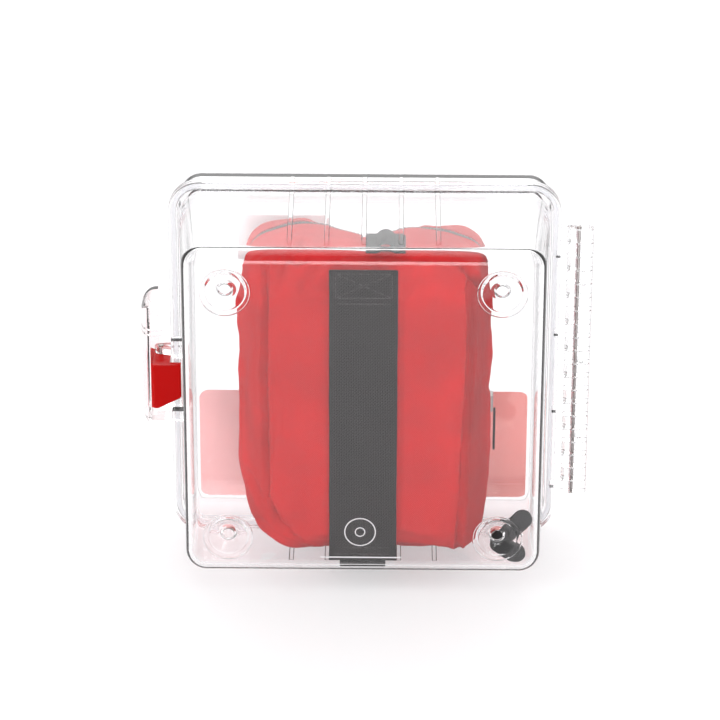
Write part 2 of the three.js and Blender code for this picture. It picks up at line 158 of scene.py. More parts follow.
def makeStage():
    low = cadBox[0][2]
    half, front, back = (stageSetup[key] for key in ("floorHalf", "floorFront", "floorBack"))
    bm = bmesh.new()
    corners = [(-half, front), (half, front), (half, back), (-half, back)]
    bm.faces.new([bm.verts.new((x, y, low)) for x, y in corners])
    floor = finishPiece("studioFloor", bm, [floorPaint()], smooth=False)
    for name, (place, aim, size, power) in studioLamps.items():
        makeLamp(name, place, aim, size, power)


def meshPiece(name, bm, materials, smooth=True, angle=35):
    mesh = bpy.data.meshes.new(name)
    bm.to_mesh(mesh)
    bm.free()
    for material in materials:
        mesh.materials.append(material)
    obj = bpy.data.objects.new(name, mesh)
    bpy.context.collection.objects.link(obj)
    if smooth:
        mesh.shade_smooth()
        mesh.set_sharp_from_angle(angle=math.radians(angle))
    return obj


def finishPiece(name, bm, materials, body=None, stands=(), smooth=True, angle=35):
    obj = meshPiece(name, bm, materials, smooth, angle)
    if body:
        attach(obj, body)
    if stands:
        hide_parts(*stands)
    return obj


def applyModifiers(obj):
    # takes the evaluated mesh in place of the modifiers
    graph = bpy.context.evaluated_depsgraph_get()
    mesh = bpy.data.meshes.new_from_object(obj.evaluated_get(graph))
    old = obj.data
    obj.modifiers.clear()
    obj.data = mesh
    bpy.data.meshes.remove(old)


def combine(obj, joins=(), cuts=(), keeps=()):
    # joins, cuts, or keeps only what lies inside closed helper pieces, then removes the helpers
    helpers = [(helper, "UNION") for helper in joins]
    helpers += [(helper, "DIFFERENCE") for helper in cuts]
    helpers += [(helper, "INTERSECT") for helper in keeps]
    for helper, operation in helpers:
        change = obj.modifiers.new(operation, "BOOLEAN")
        change.object = helper
        change.operation = operation
        change.solver = "EXACT"
        applyModifiers(obj)
        bpy.data.objects.remove(helper)


def squareRing(half, radius, depth):
    # one face in X and Z with round corners, at the given depth
    bm = bmesh.new()
    bmesh.ops.create_grid(bm, x_segments=1, y_segments=1, size=half)
    bmesh.ops.rotate(bm, verts=bm.verts, matrix=Matrix.Rotation(math.pi / 2, 3, "X"))
    bmesh.ops.bevel(bm, geom=bm.verts[:], offset=radius, affect="VERTICES", segments=cornerSteps,
                    profile=0.5, material=-1)
    bmesh.ops.translate(bm, verts=bm.verts, vec=(0, depth, 0))
    return bm


def squareShell(rings, soften=0.0006):
    # a closed skin through square rings of (depth, half width, corner radius), in metres
    depth, half, radius = rings[0]
    bm = squareRing(half, radius, depth)
    edges = bm.edges[:]
    for nextDepth, nextHalf, nextRadius in rings[1:]:
        made = bmesh.ops.extrude_edge_only(bm, edges=edges)
        ring = [g for g in made["geom"] if isinstance(g, bmesh.types.BMVert)]
        edges = [g for g in made["geom"] if isinstance(g, bmesh.types.BMEdge)
                 and all(v in ring for v in g.verts)]
        for v in ring:
            for axis in (0, 2):
                side = math.copysign(1, v.co[axis])
                swing = (v.co[axis] - side * (half - radius)) / radius
                v.co[axis] = side * (nextHalf - nextRadius) + swing * nextRadius
            v.co.y = nextDepth
        half, radius = nextHalf, nextRadius
    bmesh.ops.contextual_create(bm, geom=edges)
    bmesh.ops.recalc_face_normals(bm, faces=bm.faces)
    sharp = [e for e in bm.edges if len(e.link_faces) == 2 and e.calc_face_angle() > math.radians(50)]
    bmesh.ops.bevel(bm, geom=sharp, offset=soften, affect="EDGES", segments=2,
                    profile=0.5, material=-1, clamp_overlap=True)
    return bm


def spunSolid(profile, centre, steps=48):
    # a solid of revolution about a line along Y; the profile starts and ends on that line
    bm = bmesh.new()
    verts = [bm.verts.new((centre[0] + r, y, centre[1])) for r, y in profile]
    edges = [bm.edges.new(pair) for pair in zip(verts, verts[1:])]
    bmesh.ops.spin(bm, geom=verts + edges, cent=(centre[0], 0, centre[1]), axis=(0, 1, 0),
                   angle=math.tau, steps=steps, use_merge=True)
    bmesh.ops.remove_doubles(bm, verts=bm.verts, dist=1e-6)
    bmesh.ops.recalc_face_normals(bm, faces=bm.faces)
    return bm


def slabSolid(bm, points, toPoint, z0, z1):
    # adds a straight-sided solid: a face through the points, extruded from z0 to z1
    face = bm.faces.new([bm.verts.new(toPoint(a, b, z0)) for a, b in points])
    made = bmesh.ops.extrude_face_region(bm, geom=[face])
    top = [g for g in made["geom"] if isinstance(g, bmesh.types.BMVert)]
    shift = Vector(toPoint(0, 0, z1)) - Vector(toPoint(0, 0, z0))
    bmesh.ops.translate(bm, verts=top, vec=shift)


def flatXY(a, b, c):
    return (a * mm, b * mm, c * mm)


def flatXZ(a, b, c):
    return (a * mm, c * mm, b * mm)


def flatYZ(a, b, c):
    return (c * mm, a * mm, b * mm)


def arc(cx, cy, radius, start, end, steps):
    # points on an arc, in degrees
    points = []
    for k in range(steps + 1):
        t = math.radians(start + (end - start) * k / steps)
        points.append((cx + radius * math.cos(t), cy + radius * math.sin(t)))
    return points


def curveThrough(p, q, r, steps):
    # points on a quadratic curve from p to r, pulled towards q
    points = []
    for k in range(1, steps + 1):
        t = k / steps
        points.append(tuple((1 - t) ** 2 * a + 2 * t * (1 - t) * b + t * t * c for a, b, c in zip(p, q, r)))
    return points


def solidBetween(outline, toPoint, low, high, bevel=0.0):
    # a straight-sided solid of its own, with its edges rounded where a bevel is given
    bm = bmesh.new()
    slabSolid(bm, outline, toPoint, low, high)
    bmesh.ops.recalc_face_normals(bm, faces=bm.faces)
    if bevel:
        sharp = [e for e in bm.edges if e.calc_face_angle() > math.radians(40)]
        bmesh.ops.bevel(bm, geom=sharp, offset=bevel, affect="EDGES", segments=3,
                        profile=0.5, material=-1, clamp_overlap=True)
    return bm


def pinSolid(bm, x, y, radius, z0, z1, bevel=0.0003):
    # adds a round bar along Z, in millimetres
    made = bmesh.ops.create_cone(bm, cap_ends=True, segments=24, radius1=radius * mm,
                                 radius2=radius * mm, depth=(z1 - z0) * mm)
    verts = made["verts"]
    bmesh.ops.translate(bm, verts=verts, vec=(x * mm, y * mm, (z0 + z1) / 2 * mm))
    if bevel:
        rims = [e for e in bm.edges if e.verts[0] in verts and e.calc_face_angle() > 1]
        bmesh.ops.bevel(bm, geom=rims, offset=bevel, affect="EDGES", segments=2,
                        profile=0.5, material=-1)


def groupSocket(tree, name, way, kind, value=None):
    socket = tree.interface.new_socket(name=name, in_out=way, socket_type=kind)
    if value is not None:
        socket.default_value = value
    return socket


def mathNode(tree, operation, *values):
    node = tree.nodes.new("ShaderNodeMath")
    node.operation = operation
    for place, value in enumerate(values):
        if isinstance(value, (int, float)):
            node.inputs[place].default_value = value
        else:
            tree.links.new(value, node.inputs[place])
    return node.outputs[0]


def weaveGroup():
    # the height of a plain weave, from two crossed sets of threads
    tree = bpy.data.node_groups.new("wovenThreads", "ShaderNodeTree")
    groupSocket(tree, "Vector", "INPUT", "NodeSocketVector")
    groupSocket(tree, "Threads", "INPUT", "NodeSocketFloat", 1000)
    groupSocket(tree, "Height", "OUTPUT", "NodeSocketFloat")
    start = tree.nodes.new("NodeGroupInput")
    end = tree.nodes.new("NodeGroupOutput")
    scale = tree.nodes.new("ShaderNodeVectorMath")
    scale.operation = "SCALE"
    tree.links.new(start.outputs["Vector"], scale.inputs[0])
    tree.links.new(start.outputs["Threads"], scale.inputs["Scale"])
    split = tree.nodes.new("ShaderNodeSeparateXYZ")
    tree.links.new(scale.outputs[0], split.inputs[0])
    across = mathNode(tree, "MULTIPLY", split.outputs["X"], math.pi)
    along = mathNode(tree, "MULTIPLY", split.outputs["Y"], math.pi)
    warp = mathNode(tree, "ABSOLUTE", mathNode(tree, "SINE", across))
    weft = mathNode(tree, "ABSOLUTE", mathNode(tree, "SINE", along))
    cell = mathNode(tree, "ADD", mathNode(tree, "FLOOR", split.outputs["X"]),
                    mathNode(tree, "FLOOR", split.outputs["Y"]))
    over = mathNode(tree, "PINGPONG", cell, 1)
    mix = tree.nodes.new("ShaderNodeMix")
    mix.data_type = "FLOAT"
    tree.links.new(over, mix.inputs["Factor"])
    tree.links.new(warp, mix.inputs["A"])
    tree.links.new(weft, mix.inputs["B"])
    tree.links.new(mix.outputs["Result"], end.inputs["Height"])
    return tree


def mottleGroup():
    # slow colour and gloss change over a surface
    tree = bpy.data.node_groups.new("slowMottle", "ShaderNodeTree")
    groupSocket(tree, "Vector", "INPUT", "NodeSocketVector")
    groupSocket(tree, "Scale", "INPUT", "NodeSocketFloat", 40)
    groupSocket(tree, "Low", "INPUT", "NodeSocketFloat", 0.8)
    groupSocket(tree, "High", "INPUT", "NodeSocketFloat", 1.1)
    groupSocket(tree, "Value", "OUTPUT", "NodeSocketFloat")
    start = tree.nodes.new("NodeGroupInput")
    end = tree.nodes.new("NodeGroupOutput")
    grain = tree.nodes.new("ShaderNodeTexNoise")
    grain.inputs["Detail"].default_value = 4
    tree.links.new(start.outputs["Vector"], grain.inputs["Vector"])
    tree.links.new(start.outputs["Scale"], grain.inputs["Scale"])
    spread = tree.nodes.new("ShaderNodeMapRange")
    spread.inputs["From Min"].default_value = 0.3
    spread.inputs["From Max"].default_value = 0.7
    tree.links.new(grain.outputs["Fac"], spread.inputs["Value"])
    tree.links.new(start.outputs["Low"], spread.inputs["To Min"])
    tree.links.new(start.outputs["High"], spread.inputs["To Max"])
    tree.links.new(spread.outputs["Result"], end.inputs["Value"])
    return tree


weave = weaveGroup()
mottle = mottleGroup()


def newMaterial(name, colour, roughness, metallic=0.0, **fixed):
    material = bpy.data.materials.new(name)
    material.use_nodes = True
    tree = material.node_tree
    shader = tree.nodes["Principled BSDF"]
    shader.inputs["Base Color"].default_value = (*colour, 1)
    shader.inputs["Roughness"].default_value = roughness
    shader.inputs["Metallic"].default_value = metallic
    for key, value in fixed.items():
        shader.inputs[key.replace("_", " ")].default_value = value
    material.diffuse_color = (*colour, 1)
    return material, tree, shader


def coordinates(tree, kind="Object"):
    return tree.nodes.new("ShaderNodeTexCoord").outputs[kind]


def useGroup(tree, group, vector, **values):
    node = tree.nodes.new("ShaderNodeGroup")
    node.node_tree = group
    tree.links.new(vector, node.inputs["Vector"])
    for key, value in values.items():
        node.inputs[key].default_value = value
    return node


def mixColours(tree, factor, a, b, blend="MIX"):
    node = tree.nodes.new("ShaderNodeMix")
    node.data_type = "RGBA"
    node.blend_type = blend
    for key, value in (("Factor", factor), ("A", a), ("B", b)):
        socket = [s for s in node.inputs if s.name == key and s.enabled][0]
        if isinstance(value, (int, float)):
            socket.default_value = value
        elif isinstance(value, tuple):
            socket.default_value = (*value, 1)
        else:
            tree.links.new(value, socket)
    return [s for s in node.outputs if s.enabled][0]


def bump(tree, shader, height, distance, strength):
    node = tree.nodes.new("ShaderNodeBump")
    node.inputs["Distance"].default_value = distance
    node.inputs["Strength"].default_value = strength
    tree.links.new(height, node.inputs["Height"])
    tree.links.new(node.outputs["Normal"], shader.inputs["Normal"])


def letLampsThrough(tree, shader, colour):
    # lamp rays pass straight through clear plastic
    path = tree.nodes.new("ShaderNodeLightPath")
    clear = tree.nodes.new("ShaderNodeBsdfTransparent")
    clear.inputs["Color"].default_value = (*colour, 1)
    mix = tree.nodes.new("ShaderNodeMixShader")
    out = tree.nodes["Material Output"]
    tree.links.new(path.outputs["Is Shadow Ray"], mix.inputs[0])
    tree.links.new(shader.outputs[0], mix.inputs[1])
    tree.links.new(clear.outputs[0], mix.inputs[2])
    tree.links.new(mix.outputs[0], out.inputs["Surface"])


def floorPaint():
    # a faint glow of its own keeps the table pale under the case
    material, tree, shader = newMaterial("floorPaint", stageSetup["floorColour"], 0.6)
    shader.inputs["Emission Color"].default_value = (1, 0.99, 1, 1)
    shader.inputs["Emission Strength"].default_value = stageSetup["floorGlow"]
    return material


def clearPlastic(name, colour=(0.985, 0.985, 0.99), roughness=0.012):
    material, tree, shader = newMaterial(name, colour, roughness, IOR=1.47, Transmission_Weight=1.0)
    place = coordinates(tree)
    sheen = useGroup(tree, mottle, place, Scale=60, Low=roughness * 0.6, High=roughness * 1.8)
    tree.links.new(sheen.outputs["Value"], shader.inputs["Roughness"])
    letLampsThrough(tree, shader, (0.975, 0.975, 0.98))
    return material


def wovenCloth(name, colour, threads, depth, shades):
    # coated pouch cloth: woven on the piece's own map, with painted shade in soft darker patches where it
    # turns away
    material, tree, shader = newMaterial(name, colour, 0.82, Sheen_Weight=0.04, Sheen_Roughness=0.5,
                                         Specular_IOR_Level=0.12)
    woven = useGroup(tree, weave, coordinates(tree, "UV"), Threads=threads).outputs["Height"]
    slow = useGroup(tree, mottle, coordinates(tree), Scale=35, Low=0.86, High=1.08)
    darker = tuple(c * 0.72 for c in colour)
    lit = timesValue(tree, mixColours(tree, woven, darker, colour), slow.outputs["Value"])
    # painted shade: each box darkens the cloth's colour where it turns away from the light
    for centre, half, soft, loss in shades:
        mask = boxMask(tree, coordinates(tree), centre, half, soft * mm)
        lit = timesValue(tree, lit, mathNode(tree, "ADD", mathNode(tree, "MULTIPLY", mask, -loss), 1))
    tree.links.new(lit, shader.inputs["Base Color"])
    bump(tree, shader, woven, depth, 0.9)
    return material


def mouldedPlastic(name, colour, roughness, grain=0.00004, scale=900, shine=0.5):
    material, tree, shader = newMaterial(name, colour, roughness, Specular_IOR_Level=shine)
    place = coordinates(tree)
    noiseNode = tree.nodes.new("ShaderNodeTexNoise")
    noiseNode.inputs["Scale"].default_value = scale
    noiseNode.inputs["Detail"].default_value = 3
    tree.links.new(place, noiseNode.inputs["Vector"])
    slow = useGroup(tree, mottle, place, Scale=90, Low=roughness * 0.8, High=roughness * 1.3)
    tree.links.new(slow.outputs["Value"], shader.inputs["Roughness"])
    bump(tree, shader, noiseNode.outputs["Fac"], grain, 0.6)
    return material


def drawnSteel(name):
    material, tree, shader = newMaterial(name, (0.36, 0.33, 0.32), 0.32, 1.0)
    place = coordinates(tree)
    stretch = tree.nodes.new("ShaderNodeMapping")
    stretch.inputs["Scale"].default_value = (2500, 2500, 60)
    tree.links.new(place, stretch.inputs["Vector"])
    lines = tree.nodes.new("ShaderNodeTexNoise")
    lines.inputs["Scale"].default_value = 1
    tree.links.new(stretch.outputs[0], lines.inputs["Vector"])
    bump(tree, shader, lines.outputs["Fac"], 0.00005, 0.5)
    tree.links.new(mathNode(tree, "ADD", mathNode(tree, "MULTIPLY", lines.outputs["Fac"], 0.25), 0.2),
                   shader.inputs["Roughness"])
    return material


caseSizes = {
    "wall": 3.0, "depth": 74.0, "floorHalf": 100.0, "rimHalf": 104.9, "flangeHalf": 111.0,
    "flangeThick": 3.4, "edgeRound": 9.5, "cornerFloor": 12.0, "cornerRim": 14.0, "cornerFlange": 18.0,
    "coverBack": 74.6, "coverFront": 101.3, "coverRoot": 105.7, "coverFace": 105.0,
    "hole": 76.2, "ribPitch": 20.5, "ribs": 5, "ribWidth": 2.8, "ribHeight": 1.5,
}
# a screw cup's boss, its dish and the groove round it, as radius and depth
cupProfiles = {
    "boss": [(0, 2.8), (12.9, 2.8), (11.6, 3.5), (7.2, 6.3), (6.2, 6.8), (0, 6.8)],
    "dish": [(0, -1), (11.6, -1), (10.9, 0), (10.4, 0.45), (5.4, 3.3), (4.6, 3.6), (3.35, 3.6),
             (3.35, 5.4), (5, 6.9), (5, 8), (0, 8)],
    "groove": [(13.4, -1), (14.3, -1), (14.2, 0.3), (13.85, 0.55), (13.5, 0.3)],
}
hingeSizes = {
    "x": 121.3, "y": 74.3, "pitch": 8.4, "count": 20, "gap": 0.3, "bore": 1.75, "pin": 1.4, "pinHalf": 84.6,
    "root": 109.7, "reach": 8.4, "half": 4.4, "turn": 3.4, "markPitch": 49.0,
}
latchSizes = {
    "x": -117.5, "y": 83.0, "pin": 1.5, "pinEnds": (-33.6, 4.6), "ear": 3.6, "earBore": 1.8, "hookBore": 1.9,
    "top": 37.6, "bottom": -38.0, "outside": -128.5, "wall": 2.4, "corner": 9.0, "webs": (18, 21.2),
}


def ribPieces(y0, y1, half0, half1, lead):
    # rounded stiffening ribs on the top and bottom walls, following the wall's draft
    s = caseSizes
    ribs = []
    for number in range(s["ribs"]):
        x = (number - (s["ribs"] - 1) / 2) * s["ribPitch"]
        for side in (1, -1):
            outline = [(y0, half0 - 1.4), (y1, half1 - 1.4), (y1, half1 + s["ribHeight"]),
                       (y0 + lead, half0 + s["ribHeight"])]
            outline = [(y, side * z) for y, z in outline]
            half = s["ribWidth"] / 2
            ribs.append(solidBetween(outline, flatYZ, x - half, x + half, 0.0006))
    return gathered("ribs", ribs)


def knucklePieces(first, webLow, webHigh):
    # every second knuckle, each with its web back to the flange
    bm = bmesh.new()
    s = hingeSizes
    bottom = -s["pitch"] * s["count"] / 2
    x, y, half, turn = (s[key] for key in ("x", "y", "half", "turn"))
    outline = [(s["root"], webLow), (x - 6.2, webLow), (x - 4.6, y - half)]
    outline += arc(x + s["reach"] - turn, y - half + turn, turn, -90, 0, 8)
    outline += arc(x + s["reach"] - turn, y + half - turn, turn, 0, 90, 8)
    outline += [(x - 4.6, y + half), (x - 6.2, webHigh), (s["root"], webHigh)]
    for number in range(first, s["count"], 2):
        z0 = bottom + number * s["pitch"] + s["gap"]
        slabSolid(bm, outline, flatXY, z0, z0 + s["pitch"] - 2 * s["gap"])
    bmesh.ops.recalc_face_normals(bm, faces=bm.faces)
    sharp = [e for e in bm.edges if e.calc_face_angle() > 1.2
             and all(v.co.x > 0.112 for v in e.verts)]
    bmesh.ops.bevel(bm, geom=sharp, offset=0.0005, affect="EDGES", segments=2, profile=0.5,
                    material=-1, clamp_overlap=True)
    return meshPiece("knuckles", bm, [])


def hingeCuts():
    # the bore for the pin, and small round holes through some knuckles
    s = hingeSizes
    bore = bmesh.new()
    pinSolid(bore, s["x"], s["y"], s["bore"], -100, 100, bevel=0)
    profile = [(0, 0.06), (0.0011, 0.06), (0.0011, 0.09), (0, 0.09)]
    places = [((s["x"] + 3.3) * mm, (number * s["markPitch"] + 1.4) * mm) for number in (1, 0, -1)]
    marks = [spunSolid(profile, place, 16) for place in places]
    return [meshPiece("hingeBore", bore, []), gathered("hingeMarks", marks)]


def gathered(name, parts):
    # several closed meshes as one helper piece
    bm = bmesh.new()
    for part in parts:
        temp = bpy.data.meshes.new("part")
        part.to_mesh(temp)
        part.free()
        bm.from_mesh(temp)
        bpy.data.meshes.remove(temp)
    return meshPiece(name, bm, [])


def blockBetween(x0, x1, y0, y1, z0, z1, bevel=0.0):
    outline = [(x0, y0), (x1, y0), (x1, y1), (x0, y1)]
    return solidBetween(outline, flatXY, z0, z1, bevel)


def edgeRows(sideHalf, inset, steps):
    # the shell's rear edge as rows of depth, half width and corner radius, at an inset from its outside
    s = caseSizes
    radius = s["edgeRound"] - inset
    rows = []
    for k in range(steps + 1):
        angle = math.pi / 2 * k / steps
        half = sideHalf - s["edgeRound"] + radius * math.sin(angle)
        rows.append((s["edgeRound"] - radius * math.cos(angle), half, half - sideHalf + s["cornerFloor"]))
    return rows


def ringSolid(bm, centre, profile, steps=48):
    # adds a ring with the given section, round a line along Y, in metres
    verts = [bm.verts.new((centre[0] + r, y, centre[1])) for r, y in profile]
    edges = [bm.edges.new(pair) for pair in zip(verts, verts[1:] + verts[:1])]
    bmesh.ops.spin(bm, geom=verts + edges, cent=(centre[0], 0, centre[1]), axis=(0, 1, 0),
                   angle=math.tau, steps=steps, use_merge=True)


def screwCups():
    # the four bosses to add to the rear panel, and the dishes and grooves to cut into it
    cups, dishes = [], []
    boss, dish, groove = ([(r * mm, y * mm) for r, y in profile] for profile in cupProfiles.values())
    for sx in (-1, 1):
        for sz in (-1, 1):
            centre = (sx * caseSizes["hole"] * mm, sz * caseSizes["hole"] * mm)
            cups.append(spunSolid(boss, centre))
            dishes.append(spunSolid(dish, centre))
            ring = bmesh.new()
            ringSolid(ring, centre, groove)
            bmesh.ops.remove_doubles(ring, verts=ring.verts, dist=1e-6)
            bmesh.ops.recalc_face_normals(ring, faces=ring.faces)
            dishes.append(ring)
    return gathered("cups", cups), gathered("dishes", dishes)


def makeRearShell(material):
    s = caseSizes
    under = s["depth"] - s["flangeThick"]

    def wallHalf(y):
        return s["floorHalf"] + (s["rimHalf"] - s["floorHalf"]) * y / under

    rows = edgeRows(wallHalf(s["edgeRound"]), 0, 9)
    rows += [(under, s["rimHalf"], s["cornerRim"]), (under, s["flangeHalf"], s["cornerFlange"]),
             (s["depth"], s["flangeHalf"], s["cornerFlange"]),
             (s["depth"], s["rimHalf"] - s["wall"], s["cornerRim"] - s["wall"])]
    rows += reversed(edgeRows(wallHalf(s["edgeRound"]), s["wall"], 6))
    bm = squareShell([tuple(v * mm for v in row) for row in rows])
    obj = finishPiece("clearRearShell", bm, [material], "case", ("rear_shell",))
    cups, dishes = screwCups()
    # a cheek stands on each side of the latch's ears, and four notches are cut in the flange beside the hinge
    cheeks = [blockBetween(-110.7, -103.9, 64.5, under + 1, z0, z1, 0.0008)
              for z0, z1 in ((4.4, 15.5), (-36, -29.3))]
    notches = []
    for number in (1.5, 0.5, -0.5, -1.5):
        z = number * hingeSizes["markPitch"] - 5.4
        notches.append(blockBetween(108.4, 112, 68, 75, z - 1.5, z + 1.5))
    joins = [ribPieces(12, under + 0.5, wallHalf(12), s["rimHalf"], 5), cups,
             knucklePieces(0, under + 0.3, s["depth"] - 0.3), gathered("cheeks", cheeks)]
    combine(obj, joins, [dishes, *hingeCuts(), gathered("notches", notches)])
    finishShading(obj)


def finishShading(obj, angle=32):
    # smooth over the small bevels, with flat faces kept flat by weighting normals by area
    obj.data.shade_smooth()
    obj.data.set_sharp_from_angle(angle=math.radians(angle))
    even = obj.modifiers.new("evenNormals", "WEIGHTED_NORMAL")
    even.mode = "FACE_AREA"
    even.weight = 100
    even.keep_sharp = True
    applyModifiers(obj)


def makeCover(material):
    s = caseSizes
    back, front = s["coverBack"], s["coverFront"]
    top = back + s["flangeThick"]
    inside = s["coverFace"] - s["wall"]
    # from the rounded front edge down the outside, round the flange and its gasket groove, and up the inside
    rows = [(front, 103.2, 10.4), (front - 0.25, 104.1, 11.2), (front - 0.8, 104.7, 11.7)]
    rows += [(front - 1.9, 105.0, 12.0), (top, s["coverRoot"], s["cornerRim"])]
    rows += [(top, s["flangeHalf"], s["cornerFlange"]), (back, s["flangeHalf"], s["cornerFlange"])]
    rows += [(back, 109.4, 16.4), (back + 2, 109.4, 16.4), (back + 2, 106.6, 13.6), (back, 106.6, 13.6)]
    rows += [(back, s["coverRoot"] - s["wall"], 11.0), (front - 5.6, inside + 0.1, 9.0)]
    rows += [(front - 4.2, inside - 0.3, 8.8), (front - 3.3, inside - 1.2, 8.2)]
    rows += [(front - 3.0, inside - 2.4, 7.0)]
    bm = squareShell([tuple(v * mm for v in row) for row in rows], soften=0.0004)
    obj = finishPiece("clearFrontCover", bm, [material], "cover", ("front_cover",))
    x, y, radius = latchSizes["x"], latchSizes["y"], latchSizes["ear"]
    ear = [(-103.6, top - 0.6), (-110.5, top - 0.6), (x, y - radius)]
    ear += arc(x, y, radius, -90, -270, 14)[1:]
    ear += [(-103.6, 88)]
    ears = [solidBetween(ear, flatXY, 0.3, 4.0), solidBetween(ear, flatXY, -33, -29)]
    bore = bmesh.new()
    pinSolid(bore, x, y, latchSizes["earBore"], -40, 10, bevel=0)
    combine(obj, [ribPieces(96, top - 0.5, s["coverFace"], s["coverRoot"], -4),
                  knucklePieces(1, back + 0.3, top - 0.3), gathered("ears", ears)],
            [*hingeCuts(), meshPiece("latchBore", bore, [])])
    finishShading(obj)


gasketSizes = {"half": 109.1, "corner": 16.1, "wide": 2.2, "tall": 2.0, "proud": 0.3}


def makeGasket(material):
    s = gasketSizes
    outer = squareRing(s["half"] * mm, s["corner"] * mm, (caseSizes["coverBack"] - s["proud"]) * mm)
    face = outer.faces[:][0]
    bmesh.ops.inset_individual(outer, faces=[face], thickness=s["wide"] * mm, use_even_offset=True)
    bmesh.ops.delete(outer, geom=[face], context="FACES_ONLY")
    made = bmesh.ops.extrude_face_region(outer, geom=outer.faces[:])
    lifted = [g for g in made["geom"] if isinstance(g, bmesh.types.BMVert)]
    bmesh.ops.translate(outer, verts=lifted, vec=(0, s["tall"] * mm, 0))
    bmesh.ops.recalc_face_normals(outer, faces=outer.faces)
    sharp = [e for e in outer.edges if e.calc_face_angle() > 1.2]
    bmesh.ops.bevel(outer, geom=sharp, offset=0.0005, affect="EDGES", segments=3, profile=0.5, material=-1)
    finishPiece("coverGasket", outer, [material], "cover", ("cover_gasket",))


def makePins(material):
    bm = bmesh.new()
    s = hingeSizes
    pinSolid(bm, s["x"], s["y"], s["pin"], -s["pinHalf"], s["pinHalf"])
    finishPiece("hingePin", bm, [material], "cover", ("hinge_pin",))
    bm = bmesh.new()
    s = latchSizes
    pinSolid(bm, s["x"], s["y"], s["pin"], *s["pinEnds"])
    finishPiece("latchPin", bm, [material], "cover", ("latch_pin",))


def makeLever(clear):
    # a clear hollow lever, open towards the case, with two webs inside
    s = latchSizes
    edge, wall = s["outside"], s["wall"]
    outline = [(-113, 92), (-121, 92)]
    outline += curveThrough((-121, 92), (edge, 91), (edge, 81), 12)
    outline += curveThrough((edge, 81), (edge, 70), (-124, 65.4), 12)
    outline += [(-113, 65.4)]
    hollow = [(-110, 95), (-119, 95), (-119, 89.6), (-121, 89.6)]
    hollow += curveThrough((-121, 89.6), (-126.2, 88.8), (-126.2, 81), 12)
    hollow += curveThrough((-126.2, 81), (-126.2, 72), (-122.4, 67.6), 12)
    hollow += [(-122.4, 60), (-110, 60)]
    low, high, r = s["bottom"], s["top"], s["corner"]
    rough = solidBetween(outline, flatXY, low, high)
    obj = finishPiece("clearLatchLever", rough, [clear], "latch", ("latch_lever",))
    ends = [(-109, low), (-109, high)] + arc(edge + r, high - r, r, 90, 180, 10)
    ends += arc(edge + r, low + r, r, 180, 270, 10)
    combine(obj, keeps=[meshPiece("ends", solidBetween(ends, flatXZ, 60, 99), [])])
    web = [(-115.2, 67), (-124, 67)] + curveThrough((-124, 67), (-127.2, 72), (-127.2, 81), 8)
    web += [(-126.6, 85.4), (-115.2, 86.6)]
    webs = [solidBetween(web, flatXY, z - 0.5, z + 0.5) for z in s["webs"]]
    combine(obj, cuts=[meshPiece("hollow", solidBetween(hollow, flatXY, low + wall, high - wall), [])])
    combine(obj, [gathered("webs", webs)])
    softenEdges(obj, 0.0006)


def makeHook(red):
    # the red hook inside the lever, cut on a slope below, with a bore for the pin
    s = latchSizes
    outline = [(-105.3, 70.3), (-111.8, 70.3), (-111.8, 84)]
    outline += curveThrough((-111.8, 84), (-112.2, 88.6), (-117.5, 88.8), 8)
    outline += curveThrough((-117.5, 88.8), (-125.6, 88.4), (-125.8, 81), 12)
    outline += curveThrough((-125.8, 81), (-125.8, 72.4), (-122, 67.4), 12)
    outline += [(-120.5, 66.2), (-106, 66.2), (-105.3, 67)]
    blank = solidBetween(outline, flatXY, -28.1, 2.9)
    obj = finishPiece("redLatchHook", blank, [red], "latch", ("latch_hook",))
    topCut = [(-100, -0.6), (-121.6, -0.6), (-125.9, 2.8), (-127, 4), (-100, 4)]
    lowCut = [(-100, -18.4), (-104.9, -21), (-118.4, -28), (-118.4, -31), (-100, -31)]
    bore = bmesh.new()
    pinSolid(bore, s["x"], s["y"], s["hookBore"], -40, 10, bevel=0)
    cuts = [meshPiece("cut", solidBetween(cut, flatXZ, 60, 99), []) for cut in (topCut, lowCut)]
    combine(obj, cuts=[*cuts, meshPiece("bore", bore, [])])
    softenEdges(obj, 0.0005)


def softenEdges(obj, width, angle=35):
    soften = obj.modifiers.new("softEdges", "BEVEL")
    soften.width = width
    soften.segments = 3
    soften.limit_method = "ANGLE"
    soften.angle_limit = math.radians(angle)
    applyModifiers(obj)
    finishShading(obj, 40)


def makeCase():
    clear = clearPlastic("clearPolycarbonate")
    makeRearShell(clear)
    say("rear shell")
    makeCover(clear)
    say("front cover")
    makeGasket(newMaterial("gasketSilicone", (0.9, 0.9, 0.92), 0.35, Transmission_Weight=0.6, IOR=1.41)[0])
    makePins(drawnSteel("hingeSteel"))
    # the latch lever's clear plastic is tinted pink: a painted reflection of the red hook and pouch
    makeLever(clearPlastic("latchPolycarbonatePaintedReflection", (0.99, 0.93, 0.935)))
    makeHook(mouldedPlastic("latchRed", (0.46, 0.0015, 0.001), 0.2, shine=0.08))
    say("latch")


pouchSizes = {
    "left": -67.6, "right": 68.6, "bottom": -92.4, "top": 90.2, "near": 6.2, "far": 67.4,
    "corners": (34, 17, 15, 15),      # lower left, lower right, upper right, upper left
    "nearEdge": 14.0, "farEdge": 9.0,
    "voxel": 3.4, "quality": 6, "pressure": 4.0, "frames": 20,
    "cap": 3.2,                       # no point of the cloth moves further than this
    "rest": 5.7, "restHalf": 21,      # the back lies flat against the strap here
    "bulge": 0.9,                     # and this much nearer the wall beside the strap
    "zip": 46.0, "cloth": 1.3,
    "lip": 1.6, "middle": (0.5, -1.0),    # how far the cut edges turn in, and where towards
    "wrinkle": 0.9,
    "sliderRoom": (6.0, 69.3),        # near the zip the cloth stays inside this width
    "roll": (5.2, 12.5, 7.0),         # how high, where and how wide the top rolls over the strap's end
}
# a crease's swell as a part of its depth, how many widths away it is, and how many widths the crease reaches
creaseShape = {"swell": 0.32, "swellAt": 1.9, "reach": 4}
